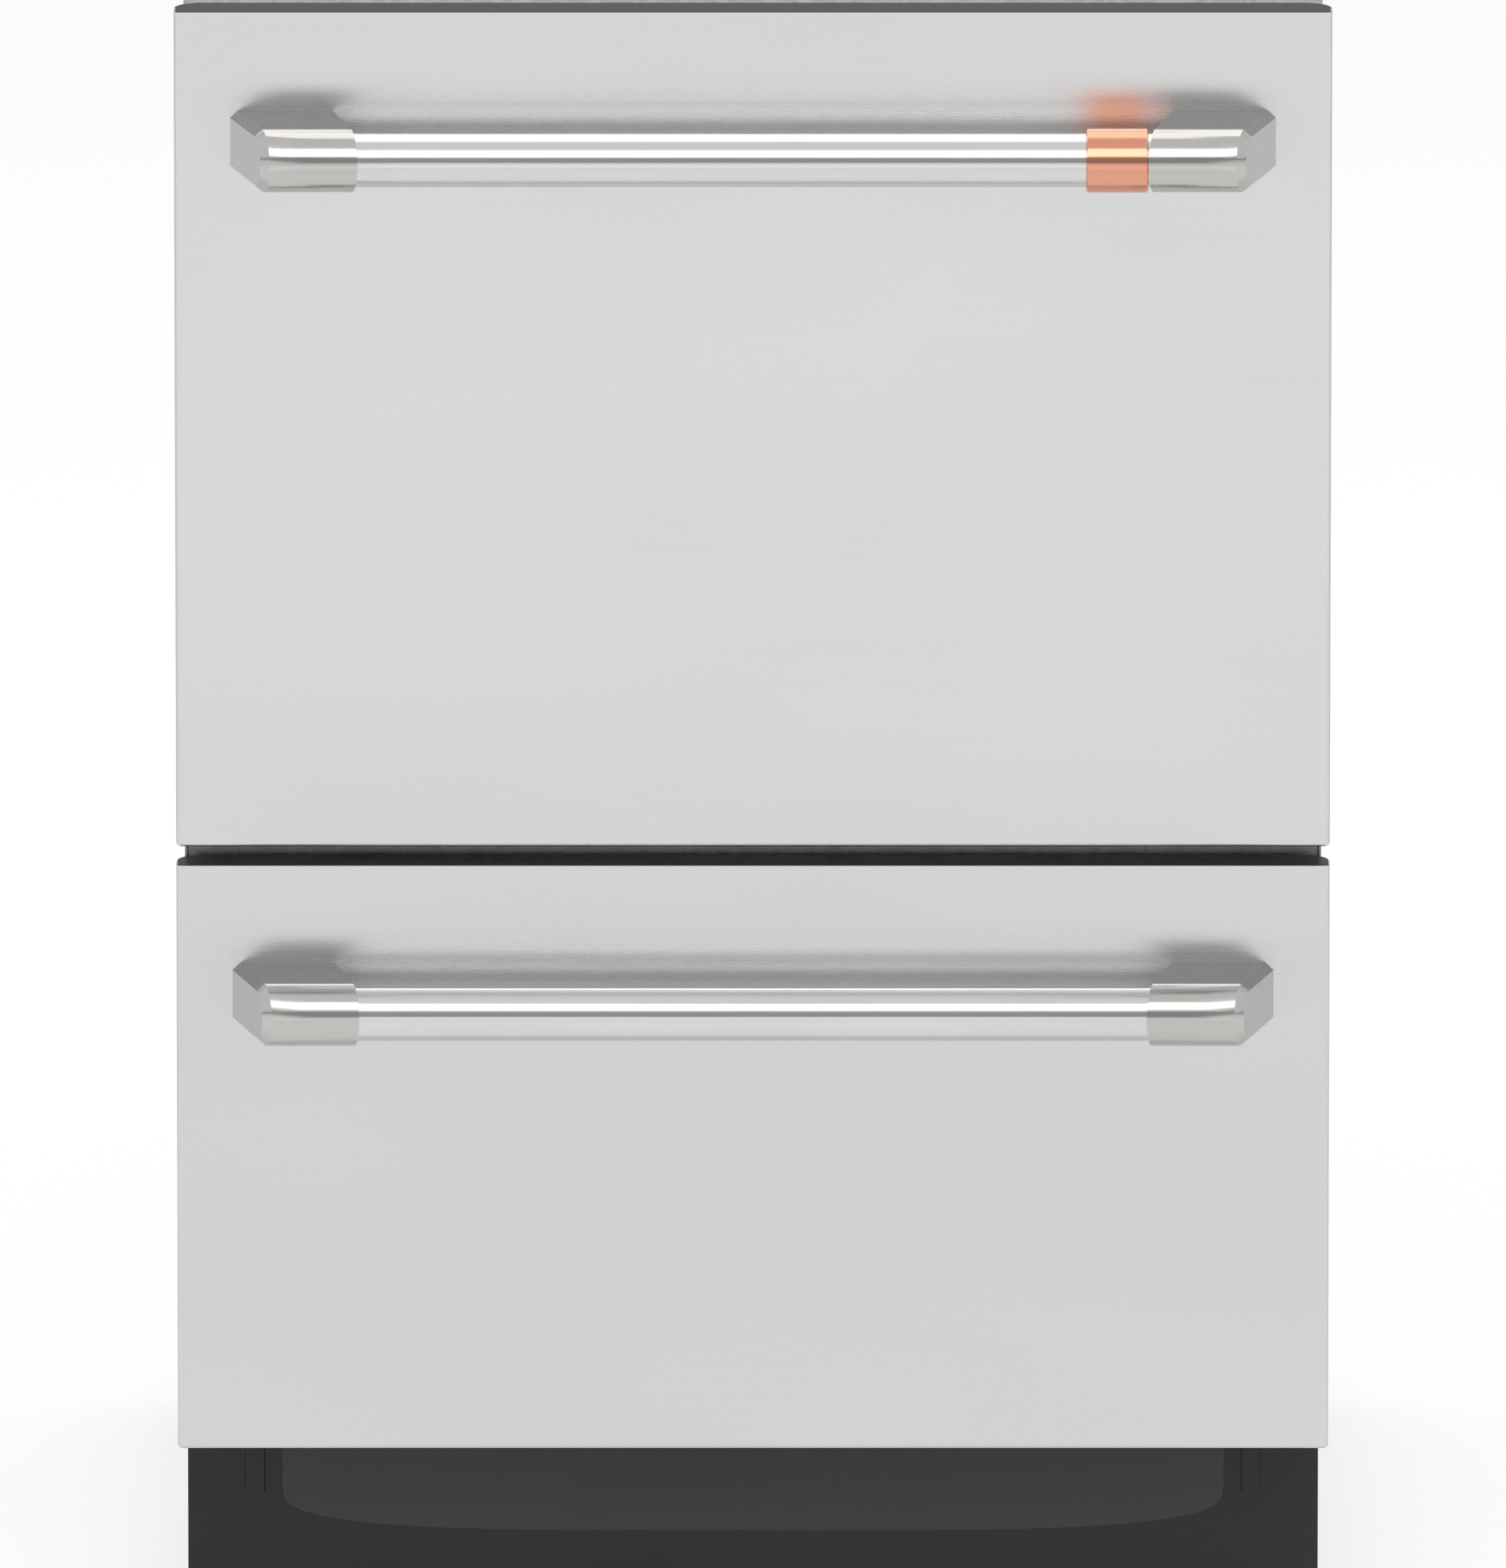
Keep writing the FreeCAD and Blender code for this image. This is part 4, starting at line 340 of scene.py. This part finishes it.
def moulded_plastic(name, dark, light, roughness, grain=900.0, depth=0.00002, specular=0.5, coat=0.0):
    """Plastic with the fine grain of its mould and a slow change of tone."""
    finish, tree, shader = new_finish(name, specular=specular, coat=coat)
    cloud = stretched_noise(tree, (9.0, 9.0, 9.0), 3.0)
    fine = stretched_noise(tree, (grain, grain, grain), 2.0)
    tree.links.new(tint(tree, cloud, dark, light), shader.inputs["Base Color"])
    tree.links.new(ranged(tree, cloud, roughness - PLASTIC_ROUGHNESS_SWING,
                          roughness + PLASTIC_ROUGHNESS_SWING), shader.inputs["Roughness"])
    relief(tree, shader, fine, depth)
    return finish


def galvanised_sheet(name, dark, light, roughness):
    """Zinc coated sheet: flat crystals a few millimetres wide, each with its own tone."""
    finish, tree, shader = new_finish(name, metallic=1.0)
    place = add_node(tree, "ShaderNodeTexCoord")
    crystals = add_node(tree, "ShaderNodeTexVoronoi", {"Vector": place.outputs["Object"],
                                                       "Scale": CRYSTALS_PER_METRE})
    tone = add_node(tree, "ShaderNodeSeparateXYZ", {"Vector": crystals.outputs["Color"]})
    tree.links.new(tint(tree, tone.outputs["X"], dark, light), shader.inputs["Base Color"])
    tree.links.new(ranged(tree, tone.outputs["Y"], roughness - 0.05, roughness + 0.07, 0.0, 1.0),
                   shader.inputs["Roughness"])
    relief(tree, shader, stretched_noise(tree, (60.0, 60.0, 60.0), 3.0), 0.00005)
    return finish


def grey(value, blue=0.0):
    """A grey, with that much more blue."""
    return (value, value + blue / 2, value + blue)


# %% [markdown]
# ## The finishes of the front
#
# The fronts are light brushed steel, the bars are finer and more polished, the brackets
# are a little darker and warmer, and the ring is polished copper. The scratches run
# along X on the fronts, the bars and the ring, and from front to back on the brackets.
# The toe kick is black painted sheet with a lighter dark grey field on it, and the strip on top
# of each front is dark satin plastic. Each name on the left is a material slot of the
# imported record.

# %% Front finishes
finishes = {
    "front_steel": brushed_steel("brushed_front_steel", grey(0.705), grey(0.75), 0.27,
                                 (6.0, 2600.0, 2600.0), 0.0000004, clouds=(3.0, 3.0, 7.0), spread=0.75),
    "handle_steel": brushed_steel("satin_bar_steel", (0.70, 0.70, 0.695), (0.76, 0.76, 0.755), 0.17,
                                  (30.0, 1500.0, 1500.0), 0.0000008, spread=0.7),
    "bracket_steel": brushed_steel("warm_bracket_steel", (0.56, 0.545, 0.53), (0.62, 0.605, 0.59), 0.16,
                                   (1100.0, 40.0, 160.0), 0.0000006),
    "copper_trim": brushed_steel("polished_copper", (0.80, 0.36, 0.24), (0.86, 0.41, 0.28), 0.13,
                                 (500.0, 900.0, 900.0), 0.0000006),
    "strip_plastic": moulded_plastic("dark_strip", grey(0.035), grey(0.05), 0.35, grain=700.0,
                                     depth=0.000005, specular=0.3),
    "frame_plastic": moulded_plastic("dark_frame_plastic", grey(0.03), grey(0.042), 0.5, specular=0.35),
    "toe_black": moulded_plastic("black_toe_paint", grey(0.012), grey(0.022), 0.38, grain=350.0,
                                 depth=0.00001, specular=0.45),
    # A lighter dark grey field on the black toe kick.
    "toe_facing": moulded_plastic("lighter_grey_toe_field", (0.046, 0.049, 0.054), (0.06, 0.063, 0.07), 0.42,
                                  grain=500.0, depth=0.00001, specular=0.45),
}
print("front finishes", len(finishes))

# %% [markdown]
# ## The finishes inside and behind
#
# A drawer that slides out shows its grey moulded tub, coated wire baskets and plated
# runners. The case is galvanised sheet, and the working parts are black or white
# moulded plastic. Each has its own grain, tone and gloss.

# %% Inside finishes
finishes.update({
    "tub_plastic": moulded_plastic("grey_tub_plastic", (0.45, 0.47, 0.49), (0.52, 0.54, 0.56), 0.42),
    "runner_steel": brushed_steel("plated_runner_steel", grey(0.52, 0.01), grey(0.62, 0.01), 0.3,
                                  (500.0, 18.0, 900.0), 0.000001),
    "filter_steel": brushed_steel("filter_steel", grey(0.52), grey(0.62), 0.3, (700.0, 700.0, 300.0),
                                  0.000001),
    "motor_plastic": moulded_plastic("black_motor_plastic", grey(0.018), grey(0.028), 0.5),
    "impeller_plastic": moulded_plastic("pale_impeller_plastic", (0.62, 0.61, 0.57), (0.70, 0.69, 0.65),
                                        0.4),
    "arm_plastic": moulded_plastic("grey_arm_plastic", (0.22, 0.235, 0.255), (0.27, 0.285, 0.305), 0.4),
    "basket_coat": moulded_plastic("coated_wire", (0.33, 0.345, 0.365), (0.39, 0.405, 0.425), 0.32,
                                   grain=400.0, depth=0.00003, coat=0.2),
    "basket_plastic": moulded_plastic("grey_basket_plastic", (0.19, 0.205, 0.225), (0.24, 0.255, 0.275),
                                      0.42),
    "dispenser_plastic": moulded_plastic("dark_dispenser_plastic", (0.09, 0.1, 0.115),
                                         (0.12, 0.13, 0.145), 0.3, coat=0.3),
    "lid_plastic": moulded_plastic("grey_lid_plastic", (0.36, 0.375, 0.395), (0.42, 0.435, 0.455), 0.45),
    "seal_rubber": moulded_plastic("soft_seal_rubber", grey(0.02), grey(0.035), 0.75, grain=600.0,
                                   depth=0.00004, specular=0.3),
    "link_steel": brushed_steel("link_steel", grey(0.5), grey(0.6), 0.34, (900.0, 20.0, 900.0), 0.0000015),
    "chassis_steel": galvanised_sheet("galvanised_sheet", (0.52, 0.53, 0.54), (0.585, 0.595, 0.605), 0.42),
    "tray_plastic": moulded_plastic("black_tray_plastic", grey(0.022), grey(0.035), 0.55),
    "actuator_plastic": moulded_plastic("dark_actuator_plastic", grey(0.04), grey(0.055), 0.45),
    "valve_plastic": moulded_plastic("white_valve_plastic", (0.66, 0.66, 0.63), (0.74, 0.74, 0.71), 0.38),
    "drain_plastic": moulded_plastic("grey_drain_plastic", grey(0.075), grey(0.1), 0.45),
    "gland_plastic": moulded_plastic("black_gland_plastic", grey(0.012), grey(0.022), 0.45),
    "foot_plastic": moulded_plastic("black_foot_plastic", grey(0.015), grey(0.028), 0.6),
})
missing = sorted(set(slot_of.values()) - set(finishes))
print("finishes", len(finishes), "missing", missing)

# %% [markdown]
# ## Softened edges
#
# A CAD solid meets itself in perfect edges, and nothing real does. Folded sheet, cut
# plastic and cast steel all catch a thin line of light there. The simplest way to get
# it is to copy the node, merge its loose triangles, join the flat ones into whole faces
# and bevel each sharp edge by a fraction of a millimetre. Weighted normals then keep
# the big faces flat.


# %% Mesh helpers
SMOOTH_ANGLE = math.radians(35.0)
FLAT_ANGLE = math.radians(0.3)
MERGE_DISTANCE = 0.000002
EASING_STEPS = 2


def piece_from(name, bm, finish):
    """Turn a bmesh into a smooth object of one finish."""
    mesh = bpy.data.meshes.new(name)
    bm.to_mesh(mesh)
    bm.free()
    mesh.materials.append(finish)
    for face in mesh.polygons:
        face.use_smooth = True
        face.material_index = 0
    mesh.set_sharp_from_angle(angle=SMOOTH_ANGLE)
    piece = bpy.data.objects.new(name, mesh)
    bpy.context.scene.collection.objects.link(piece)
    weighted = piece.modifiers.new("flat_faces", "WEIGHTED_NORMAL")
    weighted.keep_sharp = True
    return piece


def soften(bm, width):
    """Bevel every edge that turns by more than the smooth angle."""
    sharp = [edge for edge in bm.edges if edge.is_manifold and edge.calc_face_angle(0.0) > SMOOTH_ANGLE]
    bmesh.ops.bevel(bm, geom=sharp, offset=width, segments=EASING_STEPS, profile=0.5, affect="EDGES",
                    clamp_overlap=True)


def settle(piece, node):
    """Ride on the body of the CAD node that the piece stands for, and take that node's place."""
    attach(piece, body_of[node])
    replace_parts(piece, node)


def softened_copy(node, width):
    """A CAD node's merged copy with softened edges, standing for that node."""
    bm = bmesh.new()
    bm.from_mesh(frame["nodes"][node].data)
    bmesh.ops.remove_doubles(bm, verts=bm.verts, dist=MERGE_DISTANCE)
    bmesh.ops.dissolve_limit(bm, angle_limit=FLAT_ANGLE, verts=bm.verts, edges=bm.edges)
    soften(bm, width)
    settle(piece_from(node + "_eased", bm, finishes[slot_of[node]]), node)


# %% [markdown]
# ## Steel fronts, frames and strips
#
# Each front is one sheet, folded back at the sides and below. The fold is already round
# in the solid, so the copy only needs its cut edges eased. The dark moulded frame
# behind it and the strip on top get slightly wider easing, as moulded plastic has.

# %% Fronts
EASING = {"front_panel": 0.0002, "front_frame": 0.0005, "control_strip": 0.0005}
for drawer in ("upper", "lower"):
    for kind, width in EASING.items():
        softened_copy(f"{drawer}_{kind}", width)
print("fronts made")

# %% [markdown]
# ## Handles
#
# A polished bar runs into a cast bracket at each end, and a copper ring sits beside the
# right bracket of the upper one. The bars and the ring are turned: a row of circles
# along X, joined by faces. The brackets are softened copies with a wider easing, which
# is what draws the bright line round their ends in the photograph.


# %% Turned pieces
def skin(bm, rings, closed):
    """Faces between matching rings of points, with a cap at each end unless closed."""
    made = [[bm.verts.new(point) for point in ring] for ring in rings]
    pairs = list(zip(made, made[1:]))
    if closed:
        pairs.append((made[-1], made[0]))
    for low, high in pairs:
        for index in range(len(low)):
            after = (index + 1) % len(low)
            bm.faces.new((low[index], low[after], high[after], high[index]))
    if not closed:
        bm.faces.new(list(reversed(made[0])))
        bm.faces.new(made[-1])


def turned(centre, profile, sides, closed=False):
    """A form turned about X, with its faces outwards. The profile lists (distance along X, radius)."""
    rings = []
    for distance, radius in profile:
        angles = [2 * math.pi * index / sides for index in range(sides)]
        rings.append([centre + Vector((distance, radius * math.cos(angle), radius * math.sin(angle)))
                      for angle in angles])
    bm = bmesh.new()
    skin(bm, rings, closed)
    bmesh.ops.recalc_face_normals(bm, faces=bm.faces)
    return bm


def middle_reach_radius(node):
    """The middle of a bar's or ring's box, half its length along X and its radius."""
    low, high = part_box(node)
    return (low + high) / 2, (high.x - low.x) / 2, (high.z - low.z) / 2


# %% Bars and brackets
BAR_SIDES = 72
BAR_END_EASING = 0.001
BAR_END_SHARE = 0.93
BRACKET_EASING = 0.0006
for drawer in ("upper", "lower"):
    bar = f"{drawer}_handle_bar"
    middle, reach, radius = middle_reach_radius(bar)
    profile = [(-reach, radius * BAR_END_SHARE), (-reach + BAR_END_EASING, radius),
               (reach - BAR_END_EASING, radius), (reach, radius * BAR_END_SHARE)]
    settle(piece_from(bar + "_turned", turned(middle, profile, BAR_SIDES), finishes["handle_steel"]), bar)
    softened_copy(f"{drawer}_handle_brackets", BRACKET_EASING)
print("bars and brackets made")

# %% Copper ring
RING_NODE = "upper_handle_ring"
RING_SIDES = 96
RING_EASING = 0.0012
RING_CORNER = 0.0004
RING_CLEARANCE = 0.0001
middle, reach, radius = middle_reach_radius(RING_NODE)
bore = middle_reach_radius("upper_handle_bar")[2] + RING_CLEARANCE
right_end = [(reach, bore), (reach, radius - RING_EASING), (reach - RING_CORNER, radius - RING_CORNER),
             (reach - RING_EASING, radius)]
profile = [(-along, out) for along, out in right_end] + right_end[::-1]
ring = turned(middle, profile, RING_SIDES, closed=True)
settle(piece_from("copper_ring", ring, finishes["copper_trim"]), RING_NODE)
print("ring made, bore", round(bore * 2000, 2), "mm")

# %% [markdown]
# ## Everything else
#
# The nodes that are still plain keep their shape and only need eased edges: sheet metal
# a little, moulded plastic a little more.

# %% Remaining nodes
SHEET_EASING = 0.00025
MOULDED_EASING = 0.0006
stood_for = {name for piece in bpy.data.objects for name in piece.get("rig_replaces", [])}
for node in sorted(set(frame["nodes"]) - stood_for):
    is_metal = finishes[slot_of[node]].node_tree.nodes["Principled BSDF"].inputs["Metallic"].default_value
    softened_copy(node, SHEET_EASING if is_metal else MOULDED_EASING)
print("eased copies made")
